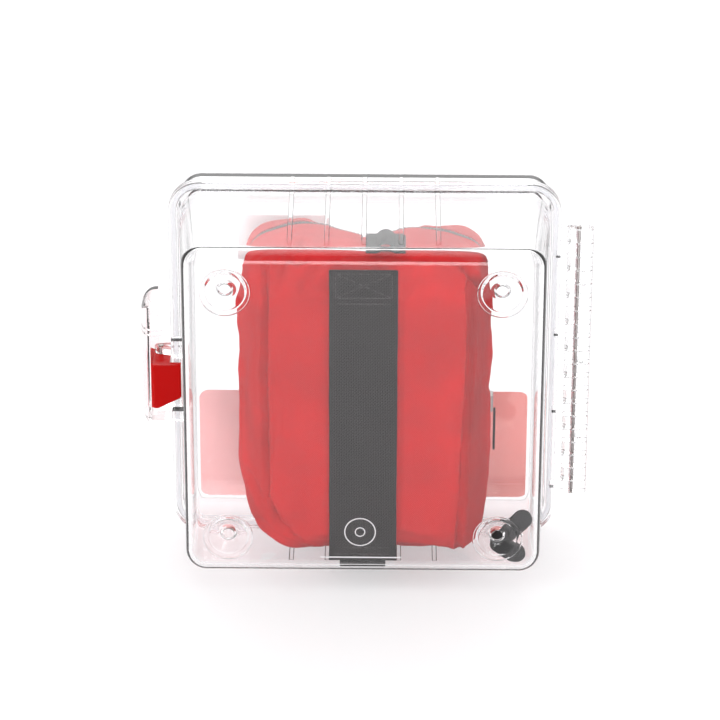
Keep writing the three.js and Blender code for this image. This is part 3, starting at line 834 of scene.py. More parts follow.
# creases on the pouch: where they run, in X and Z or in X and Y, how wide and how deep
backCreases = [
    ([(-54, 88), (-54.5, 20), (-54, -52), (-48, -70), (-34, -82), (-14, -86)], 1.3, 3.2),
    ([(57.5, 84), (59, 30), (56, -30), (54, -88)], 1.4, 3.6),
    ([(-56, 89), (-47, 92.4), (-37, 87.6), (-26, 89.6), (-19, 89.4), (50, 89.4), (59, 84), (66, 74)],
     1.5, 4.6),
    ([(-66, -44), (-52, -62), (-42, -72)], 2.3, 2.6),
    ([(-60, -70), (-46, -80), (-30, -88)], 2.2, 3.0),
    ([(-20, -89), (4, -86.5), (40, -89)], 2.0, 1.2),
    ([(34, 20), (40, -20), (38, -52)], 5.0, 1.0),
    ([(47, 78), (44, 30), (49, -10)], 6.0, 1.1),
]
topCreases = [
    ([(-47, 5), (-42, 17), (-34, 28)], 2.0, 2.6),
    ([(-34, 6), (-26, 15), (-15, 20)], 2.0, 2.4),
    ([(22, 6), (31, 18), (44, 27)], 2.2, 1.6),
    ([(-55, 40), (-30, 46), (-8, 58)], 3.0, 0.9),
    ([(12, 58), (36, 44), (60, 40)], 3.0, 0.9),
    ([(-62, 22), (-40, 34), (-16, 36), (8, 44)], 2.4, 0.9),
]
# painted shade where the cloth turns away from the light and along the pouch's bottom edge: centre and half
# size in X and Z, softness, and how much darker
paintedFoldShade = [
    ((64.5, -2), (6.5, 84), 2.0, 0.34),
    ((-61.5, -10), (6.0, 78), 3.0, 0.12),
    ((0, -90), (70, 4), 3.0, 0.3),
]
topHumps = [(-38, 20, 4.6), (2, 13, -5.5), (44, 19, 1.8)]     # where, how wide, how high


def nearCorner(bm, x, z):
    return min(bm.verts, key=lambda v: (v.co.x - x * mm) ** 2 + (v.co.z - z * mm) ** 2)


def pouchBlank():
    s = pouchSizes
    bm = bmesh.new()
    left, right, bottom, top = (s[side] for side in ("left", "right", "bottom", "top"))
    places = [(left, bottom), (right, bottom), (right, top), (left, top)]
    bm.faces.new([bm.verts.new(flatXZ(x, z, s["near"])) for x, z in places])
    for (x, z), radius in zip(places, s["corners"]):
        bmesh.ops.bevel(bm, geom=[nearCorner(bm, x, z)], offset=radius * mm, affect="VERTICES",
                        segments=7, profile=0.5, material=-1)
    made = bmesh.ops.extrude_face_region(bm, geom=bm.faces[:])
    far = [g for g in made["geom"] if isinstance(g, bmesh.types.BMVert)]
    bmesh.ops.translate(bm, verts=far, vec=(0, (s["far"] - s["near"]) * mm, 0))
    bmesh.ops.recalc_face_normals(bm, faces=bm.faces)
    for depth, width in ((s["near"], s["nearEdge"]), (s["far"], s["farEdge"])):
        rim = [e for e in bm.edges if all(abs(v.co.y - depth * mm) < 1e-5 for v in e.verts)]
        bmesh.ops.bevel(bm, geom=rim, offset=width * mm, affect="EDGES", segments=5, profile=0.5,
                        material=-1, clamp_overlap=True)
    return bm


def remeshed(obj, voxel):
    fine = obj.modifiers.new("voxels", "REMESH")
    fine.mode = "VOXEL"
    fine.voxel_size = voxel * mm
    applyModifiers(obj)


def puffUp(obj, pressure, frames, cap):
    # cloth under pressure, no gravity, with no point moving further than the cap
    start = [v.co.copy() for v in obj.data.vertices]
    cloth = obj.modifiers.new("cloth", "CLOTH")
    cloth.settings.quality = pouchSizes["quality"]
    cloth.settings.use_pressure = True
    cloth.settings.uniform_pressure_force = pressure
    cloth.settings.effector_weights.gravity = 0
    cloth.point_cache.frame_start = 1
    cloth.point_cache.frame_end = frames
    for frameNumber in range(1, frames + 1):
        bpy.context.scene.frame_set(frameNumber)
    applyModifiers(obj)
    for v, was in zip(obj.data.vertices, start):
        move = v.co - was
        if move.length > cap * mm:
            v.co = was + move.normalized() * cap * mm


def smoothStep(low, high, value):
    t = min(1, max(0, (value - low) / (high - low)))
    return t * t * (3 - 2 * t)


def distanceToRoute(route, a, b):
    best = 1e9
    for (a0, b0), (a1, b1) in zip(route, route[1:]):
        da, db = a1 - a0, b1 - b0
        t = min(1, max(0, ((a - a0) * da + (b - b0) * db) / (da * da + db * db)))
        best = min(best, math.hypot(a - a0 - t * da, b - b0 - t * db))
    return best


def creaseDepth(creases, a, b):
    # a pinched line with a soft swell on both sides of it
    s = creaseShape
    total = 0
    for route, width, depth in creases:
        far = distanceToRoute(route, a, b) / width
        if far < s["reach"]:
            total += depth * (math.exp(-far ** 2) - s["swell"] * math.exp(-(far - s["swellAt"]) ** 2))
    return total


def topLift(x, y, z):
    # how much the pouch's top stands up: its humps, and the roll over the strap's end
    lift = sum(height * math.exp(-((x - at) / width) ** 2) for at, width, height in topHumps)
    lift *= smoothStep(62, 90, z) * smoothStep(16, 56, y)
    roll, rollAt, rollWidth = pouchSizes["roll"]
    rolled = roll * math.exp(-((y - rollAt) / rollWidth) ** 2)
    return lift + rolled * smoothStep(88, 90.5, z) * smoothStep(68, 50, abs(x))


def shapePouch(obj):
    # creases and waves along the cloth's normals, then the top, the flat back and the slider's room
    s = pouchSizes
    slack, widest = s["sliderRoom"]
    mesh = obj.data
    normals = [v.normal.copy() for v in mesh.vertices]
    for v, normal in zip(mesh.vertices, normals):
        x, y, z = (c / mm for c in v.co)
        facingBack = smoothStep(0.15, 0.6, -normal.y) * smoothStep(30, 14, y)
        facingUp = smoothStep(0.2, 0.7, normal.z)
        sink = facingBack * creaseDepth(backCreases, x, z) + facingUp * creaseDepth(topCreases, x, y)
        waves = noise.noise(Vector((x, y, z)) * 0.045) * 1.6
        waves += noise.noise(Vector((x, y * 1.4, z)) * 0.11) * 0.6
        sink -= s["wrinkle"] * waves
        v.co = v.co - normal * sink * mm + Vector((0, 0, topLift(x, y, z) * mm))
        held = s["rest"] if abs(x) < s["restHalf"] else s["rest"] - s["bulge"]
        v.co.y = max(v.co.y, held * mm)
        if x > 0 and abs(y - s["zip"]) < slack:
            v.co.x = min(v.co.x, widest * mm)
    mesh.update()


def boxUV(obj):
    # a flat map in metres for each face, from the side that it looks towards
    bm = bmesh.new()
    bm.from_mesh(obj.data)
    layer = bm.loops.layers.uv.verify()
    for face in bm.faces:
        n = [abs(c) for c in face.normal]
        side = n.index(max(n))
        pair = ((1, 2), (0, 2), (0, 1))[side]
        for loop in face.loops:
            loop[layer].uv = (loop.vert.co[pair[0]], loop.vert.co[pair[1]])
    bm.to_mesh(obj.data)
    bm.free()


seamSizes = {
    "stitch": 2.6, "gap": 1.0, "wide": 0.22, "tall": 0.3, "offset": 3.0, "lift": 0.1,
    "lidRows": (10.0, 13.0), "lidCorner": 16,
}


def sewAlong(bm, skin, route, shift, side=-1):
    # stitches that lie on the pouch beside a seam, found by looking at it from the wall or from the cover
    s = seamSizes
    graph = bpy.context.evaluated_depsgraph_get()
    graph.update()
    for (x0, z0), (x1, z1) in zip(route, route[1:]):
        way = Vector((x1 - x0, z1 - z0))
        count = max(1, round(way.length / (s["stitch"] + s["gap"])))
        way.normalize()
        for k in range(count):
            t = (k + 0.5) / count
            x = x0 + (x1 - x0) * t + way.y * shift
            z = z0 + (z1 - z0) * t - way.x * shift
            found, spot, normal, index = skin.ray_cast(Vector((x * mm, side * 0.2, z * mm)), (0, -side, 0))
            if not found or normal.y * side < 0.4:
                continue
            turn = Matrix.Rotation(-math.atan2(way.y, way.x), 4, "Y")
            size = Matrix.Diagonal((s["stitch"] / 2 * mm, s["wide"] * mm, s["tall"] * mm, 1))
            at = Matrix.Translation(spot + Vector((0, side * s["lift"] * mm, 0))) @ turn @ size
            bmesh.ops.create_icosphere(bm, subdivisions=1, radius=1, matrix=at)


def cutAcross(bm, depth, **sides):
    # cuts the mesh on an upright plane at one depth
    return bmesh.ops.bisect_plane(bm, geom=bm.verts[:] + bm.edges[:] + bm.faces[:],
                                  plane_co=(0, depth * mm, 0), plane_no=(0, 1, 0), **sides)


def halfPouch(source, name, keepNear, cutDepth, material, node):
    # one side of the zip, opened along it and given the cloth's thickness
    bm = bmesh.new()
    bm.from_mesh(source.data)
    cutAcross(bm, cutDepth, clear_outer=keepNear, clear_inner=not keepNear)
    rim = [e for e in bm.edges if e.is_boundary]
    made = bmesh.ops.extrude_edge_only(bm, edges=rim)
    lip = [g for g in made["geom"] if isinstance(g, bmesh.types.BMVert)]
    middle = Vector(flatXZ(*pouchSizes["middle"], 0))
    for v in lip:
        way = middle - v.co
        way.y = 0
        v.co += way.normalized() * pouchSizes["lip"] * mm
    bmesh.ops.recalc_face_normals(bm, faces=bm.faces)
    obj = finishPiece(name, bm, [material], "case", (node,))
    wall = obj.modifiers.new("clothThickness", "SOLIDIFY")
    wall.thickness = pouchSizes["cloth"] * mm
    wall.offset = -1
    wall.use_even_offset = False
    applyModifiers(obj)
    finishShading(obj, 60)
    boxUV(obj)


def outlineAt(source, depth):
    # the loop of points where the pouch's skin crosses one depth, in order
    bm = bmesh.new()
    bm.from_mesh(source.data)
    made = cutAcross(bm, depth)
    cut = [g for g in made["geom_cut"] if isinstance(g, bmesh.types.BMVert)]
    points = sorted(((math.atan2(v.co.z, v.co.x), v.co.x, v.co.z) for v in cut), key=lambda p: p[0])
    bm.free()
    return [(x, z) for turn, x, z in points]


def evenly(points, pitch):
    # points at an even pitch round a closed loop, each with its direction
    loop = points + points[:1]
    lengths = [math.dist(a, b) for a, b in zip(loop, loop[1:])]
    count = int(sum(lengths) / pitch)
    step = sum(lengths) / count
    result, number, gone = [], 0, 0.0
    for k in range(count):
        target = k * step
        while gone + lengths[number] < target:
            gone += lengths[number]
            number += 1
        t = (target - gone) / lengths[number]
        a, b = loop[number], loop[number + 1]
        way = Vector((b[0] - a[0], b[1] - a[1])).normalized()
        result.append((a[0] + (b[0] - a[0]) * t, a[1] + (b[1] - a[1]) * t, way))
    return result


zipSizes = {
    "near": 44.7, "far": 47.3, "inside": 1.5,      # the tape, and how far it lies inside the cloth's outline
    "pitch": 2.1, "tooth": (1.5, 2.3, 0.9), "toothInside": 0.7,
}


def makeZip(loop, tapeCloth, toothPlastic, steel, pullCloth):
    s = zipSizes
    places = evenly(loop, s["pitch"] * mm)
    bm = bmesh.new()
    verts = [bm.verts.new((x, s["near"] * mm, z)) for x, z, way in places]
    edges = [bm.edges.new((a, b)) for a, b in zip(verts, verts[1:] + verts[:1])]
    made = bmesh.ops.extrude_edge_only(bm, edges=edges)
    ring = [g for g in made["geom"] if isinstance(g, bmesh.types.BMVert)]
    bmesh.ops.translate(bm, verts=ring, vec=(0, (s["far"] - s["near"]) * mm, 0))
    bmesh.ops.recalc_face_normals(bm, faces=bm.faces)
    for v in bm.verts:
        inward = Vector((-v.co.x, 0, -v.co.z)).normalized()
        v.co += inward * s["inside"] * mm
    for x, z, way in places:
        turn = Matrix.Rotation(-math.atan2(way.y, way.x), 4, "Y")
        inward = Vector((-x, 0, -z)).normalized() * s["toothInside"] * mm
        place = Matrix.Translation(Vector((x, pouchSizes["zip"] * mm, z)) + inward)
        size = Matrix.Diagonal((*(side * mm for side in s["tooth"]), 1))
        tooth = bmesh.ops.create_cube(bm, size=1, matrix=place @ turn @ size)["verts"]
        for face in {f for v in tooth for f in v.link_faces}:
            face.material_index = 1
    finishPiece("pouchZip", bm, [tapeCloth, toothPlastic], "case", ("pouch_zip",))
    low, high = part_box("zip_slider")
    block = blockBetween(*(c / mm for pair in zip(low, high) for c in pair))
    slider = finishPiece("zipSlider", block, [steel], "zip", ("zip_slider",))
    softenEdges(slider, 0.0007)
    low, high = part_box("zip_pull")
    outline = roundedOutline(low.y / mm, high.y / mm, low.z / mm, high.z / mm, 2.3)
    tab = solidBetween(outline, flatYZ, low.x / mm, high.x / mm, 0.0003)
    finishPiece("zipPull", tab, [pullCloth], "zip", ("zip_pull",))


def roundedOutline(a0, a1, b0, b1, radius, steps=8):
    points = arc(a1 - radius, b0 + radius, radius, -90, 0, steps)
    points += arc(a1 - radius, b1 - radius, radius, 0, 90, steps)
    points += arc(a0 + radius, b1 - radius, radius, 90, 180, steps)
    points += arc(a0 + radius, b0 + radius, radius, 180, 270, steps)
    return points


def makePouch(cloth, thread, tapeCloth, toothPlastic, steel, pullCloth):
    s = pouchSizes
    skin = meshPiece("pouchSkin", pouchBlank(), [])
    remeshed(skin, s["voxel"])
    puffUp(skin, s["pressure"], s["frames"], s["cap"])
    say("pouch cloth settled")
    finer = skin.modifiers.new("finer", "SUBSURF")
    finer.levels = 1
    finer.render_levels = 1
    applyModifiers(skin)
    shapePouch(skin)
    sewn = bmesh.new()
    for number, side in ((0, -1), (1, 1)):
        sewAlong(sewn, skin, backCreases[number][0], side * seamSizes["offset"])
    for inset in seamSizes["lidRows"]:
        row = roundedOutline(s["left"] + inset, s["right"] - inset, s["bottom"] + inset, s["top"] - inset,
                             seamSizes["lidCorner"])
        sewAlong(sewn, skin, row + row[:1], 0, 1)
    finishPiece("seamStitching", sewn, [thread], "case", ())
    halfPouch(skin, "pouchBody", True, zipSizes["near"] - 0.4, cloth, "pouch_body")
    halfPouch(skin, "pouchLid", False, zipSizes["far"] + 0.4, cloth, "pouch_lid")
    makeZip(outlineAt(skin, s["zip"]), tapeCloth, toothPlastic, steel, pullCloth)
    bpy.data.objects.remove(skin)


strapSizes = {
    "half": 19.0, "low": -92.3, "high": 88.6, "near": 3.55, "thick": 1.6, "selvage": 2,
    "stitchTop": 86.5, "stitchLow": 72.0, "stitchHalf": 15.5, "stitch": 3.2,
    "rows": (68.5, -84, -88),         # rows of stitches straight across
}


def stitchRun(bm, start, end, depth, length, gap=0.9):
    # a row of raised thread stitches, as short round-ended bars
    a, b = Vector(start), Vector(end)
    count = max(1, round((b - a).length / (length + gap)))
    way = (b - a).normalized()
    turn = Matrix.Rotation(-math.atan2(way.y, way.x), 4, "Y")
    for k in range(count):
        middle = a + (b - a) * ((k + 0.5) / count)
        place = Matrix.Translation((middle.x * mm, depth * mm, middle.y * mm))
        size = Matrix.Diagonal((length / 2 * mm, 0.22 * mm, 0.34 * mm, 1))
        bmesh.ops.create_icosphere(bm, subdivisions=1, radius=1, matrix=place @ turn @ size)


def makeStrap(webbing, thread):
    # a slightly wavy band with thin woven edges, and a sewn box with a cross at its top
    s = strapSizes
    bm = bmesh.new()
    bmesh.ops.create_grid(bm, x_segments=14, y_segments=120, size=1)
    for v in bm.verts:
        x = v.co.x * s["half"]
        z = s["low"] + (v.co.y + 1) / 2 * (s["high"] - s["low"])
        wave = 0.12 * math.sin(z * 0.11) + 0.1 * noise.noise(Vector((x * 0.1, 0, z * 0.06)))
        selvage = 0.12 if abs(x) > s["half"] - s["selvage"] else 0
        edge = 0
        if abs(x) > s["half"] - 0.1:
            edge = 0.25 * noise.noise(Vector((math.copysign(3, x), 7, z * 0.05)))
        v.co = Vector((x + edge, s["near"] + 0.18 + wave - selvage, z)) * mm
    made = bmesh.ops.extrude_face_region(bm, geom=bm.faces[:])
    back = [g for g in made["geom"] if isinstance(g, bmesh.types.BMVert)]
    bmesh.ops.translate(bm, verts=back, vec=(0, s["thick"] * mm, 0))
    bmesh.ops.recalc_face_normals(bm, faces=bm.faces)
    obj = finishPiece("backStrap", bm, [webbing], "case", ("back_strap",), angle=50)
    softenEdges(obj, 0.0003, 60)
    sewn = bmesh.new()
    x, top, low = s["stitchHalf"], s["stitchTop"], s["stitchLow"]
    corners = [(-x, low), (x, low), (x, top), (-x, top)]
    runs = [*zip(corners, corners[1:] + corners[:1]), (corners[0], corners[2]), (corners[1], corners[3])]
    runs += [((-x, z), (x, z)) for z in s["rows"]]
    for start, end in runs:
        stitchRun(sewn, start, end, s["near"] + 0.1, s["stitch"])
    finishPiece("strapStitching", sewn, [thread], "case", ())
    say("back strap")


tailSizes = {"half": 13.0, "thick": 1.4, "end": 55.0}


def makeTail(webbing):
    # the strap's narrow tail: down the last few millimetres of the wall, then back under the pouch
    low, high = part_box("strap_tail")
    near, top, bottom = low.y / mm, high.z / mm, low.z / mm
    thick = tailSizes["thick"]
    outside = [(near, top)] + curveThrough((near, bottom + 2.2), (near, bottom), (near + 2.2, bottom), 6)
    outside.insert(1, (near, bottom + 2.2))
    outside += [(near + 18, bottom + 0.25), (near + 36, bottom), (tailSizes["end"], bottom + 0.1)]
    inside = [(tailSizes["end"], bottom + thick), (near + 36, bottom + thick), (near + 18, bottom + thick)]
    inside += [(near + 3.0, bottom + thick), (near + thick, bottom + 2.6), (near + thick, top)]
    bm = bmesh.new()
    slabSolid(bm, outside + inside, flatYZ, -tailSizes["half"], tailSizes["half"])
    bmesh.ops.recalc_face_normals(bm, faces=bm.faces)
    obj = finishPiece("strapTail", bm, [webbing], "case", ("strap_tail",))
    softenEdges(obj, 0.0003, 60)


handleSizes = {"x": (1, 23), "y": (20, 38), "rise": 5.8, "thick": 1.5, "sewn": 6, "ridge": (28.5, 0.7)}


def makeHandle(webbing):
    # an arch of webbing, sewn down at both ends, a little higher along its middle
    s = handleSizes
    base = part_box("carry_handle")[0].z / mm
    x0, x1 = s["x"]
    start, end = (x0 + s["sewn"], base), (x1 - s["sewn"], base)
    crown = ((x0 + x1) / 2, base + s["rise"] * 2 - 6)
    under = [(x0, base), start] + curveThrough(start, crown, end, 20) + [(x1, base)]
    over = [(x, z + s["thick"]) for x, z in reversed(under)]
    bm = solidBetween(under + over, flatXZ, *s["y"])
    ridgeAt, ridge = s["ridge"]
    cutAcross(bm, ridgeAt)
    for v in bm.verts:
        if abs(v.co.y - ridgeAt * mm) < 1e-6:
            v.co.z += ridge * mm
    obj = finishPiece("carryHandle", bm, [webbing], "case", ("carry_handle",))
    softenEdges(obj, 0.0003, 60)


tieSizes = {
    "arms": [((77.5, -82), (90.5, -67.5), 5.4), ((77.5, -83.5), (87, -89.6), 5.6)],     # from, to, half width
    "near": 7.6, "far": 10.2,
}


def makeTie(hookCloth):
    # two round-ended arms of hook tape that cross at one end
    s = tieSizes
    arms = []
    for (x0, z0), (x1, z1), r in s["arms"]:
        angle = math.degrees(math.atan2(z1 - z0, x1 - x0))
        outline = arc(x0, z0, r, angle + 90, angle + 270, 14) + arc(x1, z1, r, angle - 90, angle + 90, 14)
        arms.append(solidBetween(outline, flatXZ, s["near"], s["far"]))
    obj = finishPiece("hookLoopTie", arms[0], [hookCloth], "case", ("hook_loop_tie",))
    combine(obj, [gathered("arm", arms[1:])])
    softenEdges(obj, 0.0006)


def makeLabel(name, node, radius, face, glue):
    # a film on the cover, printed on the side away from the pouch, with its glue on the side towards it
    low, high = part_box(node)
    outline = roundedOutline(low.x / mm, high.x / mm, low.z / mm, high.z / mm, radius)
    bm = solidBetween(outline, flatXZ, low.y / mm, high.y / mm)
    for side in bm.faces:
        side.material_index = 1 if side.normal.y < -0.5 else 0
    finishPiece(name, bm, [face, glue], "cover", (node,))


markSizes = {"near": 3.04, "far": 3.12, "centre": (-1.5, -73.5), "rings": ((9.0, 8.35), (3.0, 2.4)),
             "bar": (-24, 22, -90.2, -89.4), "barCorner": 0.35}


def makeMark(ink):
    # a plain ring mark over a thin bar, on the rear panel's inner side
    s = markSizes
    y0, y1 = s["near"] * mm, s["far"] * mm
    bm = bmesh.new()
    for outer, inner in s["rings"]:
        profile = [(inner * mm, y0), (outer * mm, y0), (outer * mm, y1), (inner * mm, y1)]
        ringSolid(bm, [c * mm for c in s["centre"]], profile)
    bmesh.ops.remove_doubles(bm, verts=bm.verts, dist=1e-7)
    slabSolid(bm, roundedOutline(*s["bar"], s["barCorner"]), flatXZ, s["near"], s["far"])
    bmesh.ops.recalc_face_normals(bm, faces=bm.faces)
    finishPiece("shellMark", bm, [ink], "case", ())


tourniquetSizes = {
    "half": 19, "bandThick": 2.6, "bandCorner": 7.6,
    "plate": (-19, 19, -40, 62), "plateDepth": (25.8, 27.6),
    "buckle": (-24, 24, -78, -48), "buckleDepth": (25.8, 30.2),
    "slots": ((-73, -66), (-61, -54)), "slotHalf": 19.5,
    "clip": [(-15, 28), (15, 28), (15, 35), (11.5, 35.6), (9, 31), (-9, 31), (-11.5, 35.6), (-15, 35)],
    "clipEnds": (30, 42), "rodDepth": 40.6, "ribbonTurns": 8, "ribbonRadii": (4.6, 5.0),
}


def makeTourniquet(webbing, plastic, paper, ribbon):
    s = tourniquetSizes
    low, high = (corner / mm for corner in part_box("tourniquet_band"))
    half, thick = s["half"], s["bandThick"]
    outer = roundedOutline(low.y, high.y, low.z, high.z, s["bandCorner"], 12)
    inner = roundedOutline(low.y + thick, high.y - thick, low.z + thick, high.z - thick,
                           s["bandCorner"] - thick, 12)
    band = finishPiece("tourniquetBand", solidBetween(outer, flatYZ, -half, half), [webbing], "case",
                       ("tourniquet_band",))
    combine(band, cuts=[meshPiece("inside", solidBetween(inner, flatYZ, -half - 3, half + 3), [])])
    softenEdges(band, 0.0004)
    board = solidBetween(roundedOutline(*s["plate"], 6), flatXZ, *s["plateDepth"])
    plate = finishPiece("tourniquetPlate", board, [plastic], "case", ("tourniquet_plate",))
    softenEdges(plate, 0.0004)
    frameBlank = solidBetween(roundedOutline(*s["buckle"], 4), flatXZ, *s["buckleDepth"])
    buckle = finishPiece("tourniquetBuckle", frameBlank, [plastic], "case", ("tourniquet_buckle",))
    slots = [solidBetween(roundedOutline(-s["slotHalf"], s["slotHalf"], z0, z1, 1.5), flatXZ, 20, 40)
             for z0, z1 in s["slots"]]
    combine(buckle, cuts=[gathered("slots", slots)])
    softenEdges(buckle, 0.0007)
    clip = finishPiece("windlassClip", solidBetween(s["clip"], flatXY, *s["clipEnds"]), [plastic], "case",
                       ("windlass_clip",))
    softenEdges(clip, 0.0007)
    low, high = (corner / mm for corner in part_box("windlass_strap"))
    strip = solidBetween(roundedOutline(low.x, high.x, low.z, high.z, 1.5), flatXZ, low.y, high.y, 0.0003)
    finishPiece("windlassStrap", strip, [paper], "case", ("windlass_strap",))
    makeWindlass(plastic, ribbon)


def makeWindlass(plastic, ribbon):
    # the rod lies along X, and the ribbon is wound round the line that they turn about
    s = tourniquetSizes
    rod = spunSolid([(r * mm, y * mm) for r, y in rodProfile()], (0, 0), 40)
    bmesh.ops.rotate(rod, verts=rod.verts, matrix=Matrix.Rotation(-math.pi / 2, 3, "Z"))
    bmesh.ops.translate(rod, verts=rod.verts, vec=(0, s["rodDepth"] * mm, 0))
    finishPiece("windlassRod", rod, [plastic], "windlass", ("windlass_rod",))
    low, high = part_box("tension_ribbon")
    valley, ridge = (r * mm for r in s["ribbonRadii"])
    step = (high.y - low.y) / s["ribbonTurns"]
    wound = [(0, low.y)]
    for number in range(s["ribbonTurns"]):
        y = low.y + number * step
        wound += [(valley, y), (ridge, y + step / 2)]
    wound += [(valley, high.y), (0, high.y)]
    finishPiece("tensionRibbon", spunSolid(wound, (0, 0), 32), [ribbon], "windlass", ("tension_ribbon",))


def rodProfile():
    # one half of the rod as radius and distance, with six grips, then the same again towards its other end
    points = [(0, -59), (2.6, -59), (3.5, -58.5), (4, -57.4)]
    for number in range(6):
        y = -56 + number * 3.6
        points += [(4, y), (3.55, y + 0.6), (3.55, y + 1.2), (4, y + 1.8)]
    points += [(4, -34), (3.2, -30)]
    return points + [(r, -y) for r, y in reversed(points)]


packNames = {"gauze_pack": "gauzePack", "dressing_pack": "dressingPack", "gloves_pack": "glovesPack"}


def makePacks(wrap):
    # flat sealed packs: a soft middle with a crimped rim
    for node, name in packNames.items():
        low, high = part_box(node)
        middle, half = (low + high) / 2, (high - low) / 2
        bm = bmesh.new()
        bmesh.ops.create_cube(bm, size=2)
        bmesh.ops.subdivide_edges(bm, edges=bm.edges[:], cuts=15, use_grid_fill=True)
        for v in bm.verts:
            out = max(abs(v.co.x), abs(v.co.z))
            fill = 1 - smoothStep(0.72, 1.0, out) * 0.86
            crumple = 1 - 0.1 * abs(noise.noise(Vector((v.co.x * 2.1, v.co.y, v.co.z * 2.7)))) * fill
            v.co.y *= fill * crumple
            v.co = middle + v.co * half
        obj = finishPiece(name, bm, [wrap], "case", (node,), angle=60)
        finer = obj.modifiers.new("finer", "SUBSURF")
        finer.levels = 1
        finer.render_levels = 1
        applyModifiers(obj)


def webbingCloth(name, colour, across="X", along="Z", rib=0.95, depth=0.00012):
    # flat woven tape: rows of ribs along its length and fine threads across it
    material, tree, shader = newMaterial(name, colour, 0.8, Sheen_Weight=0.03, Sheen_Roughness=0.45,
                                         Specular_IOR_Level=0.15)
    split = tree.nodes.new("ShaderNodeSeparateXYZ")
    tree.links.new(coordinates(tree), split.inputs[0])
    joined = tree.nodes.new("ShaderNodeCombineXYZ")
    tree.links.new(split.outputs[across], joined.inputs[0])
    tree.links.new(split.outputs[along], joined.inputs[1])
    threads = useGroup(tree, weave, joined.outputs[0], Threads=1000 / rib)
    slow = useGroup(tree, mottle, joined.outputs[0], Scale=70, Low=0.8, High=1.15)
    dark = tuple(c * 0.45 for c in colour)
    lit = mixColours(tree, threads.outputs["Height"], dark, colour)
    tree.links.new(timesValue(tree, lit, slow.outputs["Value"]), shader.inputs["Base Color"])
    bump(tree, shader, threads.outputs["Height"], depth, 0.9)
    return material


def timesValue(tree, colour, value):
    grey = tree.nodes.new("ShaderNodeCombineColor")
    for channel in range(3):
        tree.links.new(value, grey.inputs[channel])
    return mixColours(tree, 1, colour, grey.outputs[0], "MULTIPLY")


def boxMask(tree, place, centre, half, soft=0.0003):
    # one inside an upright rectangle in X and Z, nothing outside it
    split = tree.nodes.new("ShaderNodeSeparateXYZ")
    tree.links.new(place, split.inputs[0])
    sides = []
    for axis, at, reach in (("X", centre[0], half[0]), ("Z", centre[1], half[1])):
        away = mathNode(tree, "ABSOLUTE", mathNode(tree, "SUBTRACT", split.outputs[axis], at * mm))
        edge = tree.nodes.new("ShaderNodeMapRange")
        edge.inputs["From Min"].default_value = reach * mm - soft
        edge.inputs["From Max"].default_value = reach * mm + soft
        edge.inputs["To Min"].default_value = 1
        edge.inputs["To Max"].default_value = 0
        tree.links.new(away, edge.inputs["Value"])
        sides.append(edge.outputs["Result"])
    return mathNode(tree, "MULTIPLY", sides[0], sides[1])


def printedFilm(name, colour, ink, bars):
    # a glossy film with plain printed bars
    material, tree, shader = newMaterial(name, colour, 0.35, Coat_Weight=0.3, Coat_Roughness=0.1)
    place = coordinates(tree)
    mask = None
    for centre, half in bars:
        one = boxMask(tree, place, centre, half)
        mask = one if mask is None else mathNode(tree, "MAXIMUM", mask, one)
    slow = useGroup(tree, mottle, place, Scale=30, Low=0.94, High=1.04)
    base = timesValue(tree, mixColours(tree, mask, colour, ink), slow.outputs["Value"])
    tree.links.new(base, shader.inputs["Base Color"])
    return material


def adhesiveBack(name, latchSide, hingeSide):
    # the matt glue side of a film, whose colour changes slowly from the latch side to the hinge side
    material, tree, shader = newMaterial(name, latchSide, 0.6, Specular_IOR_Level=0.2)
    place = coordinates(tree)
    split = tree.nodes.new("ShaderNodeSeparateXYZ")
    tree.links.new(place, split.inputs[0])
    fade = tree.nodes.new("ShaderNodeMapRange")
    fade.inputs["From Min"].default_value = -0.09
    fade.inputs["From Max"].default_value = 0.09
    tree.links.new(split.outputs["X"], fade.inputs["Value"])
    slow = useGroup(tree, mottle, place, Scale=22, Low=0.92, High=1.05)
    base = mixColours(tree, fade.outputs["Result"], latchSide, hingeSide)
    tree.links.new(timesValue(tree, base, slow.outputs["Value"]), shader.inputs["Base Color"])
    return material


def wrappedPaper(name, colour):
    material, tree, shader = newMaterial(name, colour, 0.42, Coat_Weight=0.2)
    place = coordinates(tree)
    folds = tree.nodes.new("ShaderNodeTexNoise")
    folds.inputs["Scale"].default_value = 120
    folds.inputs["Detail"].default_value = 5
    tree.links.new(place, folds.inputs["Vector"])
    slow = useGroup(tree, mottle, place, Scale=50, Low=0.85, High=1.05)
    creased = mixColours(tree, folds.outputs["Fac"], tuple(c * 0.8 for c in colour), colour)
    tree.links.new(timesValue(tree, creased, slow.outputs["Value"]), shader.inputs["Base Color"])
    bump(tree, shader, folds.outputs["Fac"], 0.0012, 0.7)
    return material


# the labels' plain bars: centre and half size in X and Z
labelBars = [((-0.2, -56), (62, 7)), ((-0.2, -74), (74, 2.6)), ((-0.2, -82), (74, 2.6)),
             ((-0.2, -90), (46, 2.6))]
cornerBars = [((-47, 69), (20, 1.6)), ((-47, 64), (20, 1.6)), ((-47, 59), (14, 1.6))]


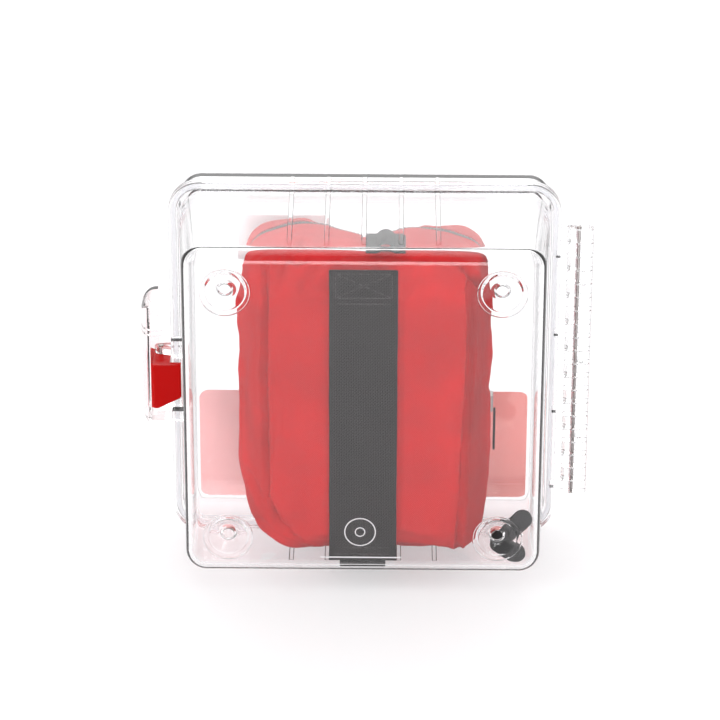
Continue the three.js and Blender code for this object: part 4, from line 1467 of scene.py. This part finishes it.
def makeContents():
    redNylon = wovenCloth("redNylon", (0.66, 0.005, 0.008), 1600, 0.0002, paintedFoldShade)
    blackTape = webbingCloth("zipTape", (0.02, 0.018, 0.02), "X", "Y", 0.8, 0.0001)
    redThread = mouldedPlastic("redThread", (0.5, 0.02, 0.02), 0.6, 0.0001, 2500, shine=0.15)
    toothPlastic = mouldedPlastic("zipTeeth", (0.03, 0.028, 0.03), 0.35)
    steel = drawnSteel("sliderSteel")
    darkWebbing = webbingCloth("charcoalWebbing", (0.013, 0.009, 0.0095))
    topWebbing = webbingCloth("handleWebbing", (0.014, 0.011, 0.011), "Y", "X")
    tailWebbing = webbingCloth("tailWebbing", (0.012, 0.009, 0.0095), "X", "Y")
    thread = mouldedPlastic("sewingThread", (0.045, 0.036, 0.037), 0.6, 0.0001, 2500)
    hookCloth = mouldedPlastic("hookTape", (0.008, 0.007, 0.008), 0.75, 0.0006, 1800)
    bandWebbing = webbingCloth("bandWebbing", (0.018, 0.018, 0.02), "X", "Z", 1.2)
    blackPlastic = mouldedPlastic("blackPlastic", (0.012, 0.012, 0.013), 0.38)
    makePouch(redNylon, redThread, blackTape, toothPlastic, steel, blackTape)
    say("pouch and zip")
    makeStrap(darkWebbing, thread)
    makeTail(tailWebbing)
    makeHandle(topWebbing)
    makeTie(hookCloth)
    makeLabel("frontLabel", "front_label", 6,
              printedFilm("redVinyl", (0.62, 0.012, 0.012), (0.85, 0.84, 0.83), labelBars),
              adhesiveBack("filmBack", (0.98, 0.50, 0.49), (0.84, 0.27, 0.24)))
    makeLabel("cornerLabel", "corner_label", 2,
              printedFilm("paleVinyl", (0.82, 0.8, 0.79), (0.5, 0.05, 0.05), cornerBars),
              adhesiveBack("paleFilmBack", (0.99, 0.93, 0.93), (0.99, 0.93, 0.93)))
    makeMark(adhesiveBack("markInk", (0.66, 0.64, 0.65), (0.66, 0.64, 0.65)))
    paper = wrappedPaper("foilWrap", (0.72, 0.70, 0.64))
    makeTourniquet(bandWebbing, blackPlastic, paper, blackTape)
    makePacks(paper)
    say("tourniquet and dressings")


makeWorld()
makeCamera()
makeStage()
makeCase()
makeContents()

scene = bpy.context.scene
scene.view_settings.view_transform = "Standard"
scene.cycles.use_denoising = True
# the walls of clear plastic lie many deep, so light has to pass many surfaces
clearBounces = 24
scene.cycles.max_bounces = clearBounces
scene.cycles.transmission_bounces = clearBounces
scene.cycles.transparent_max_bounces = clearBounces
scene.cycles.glossy_bounces = 8
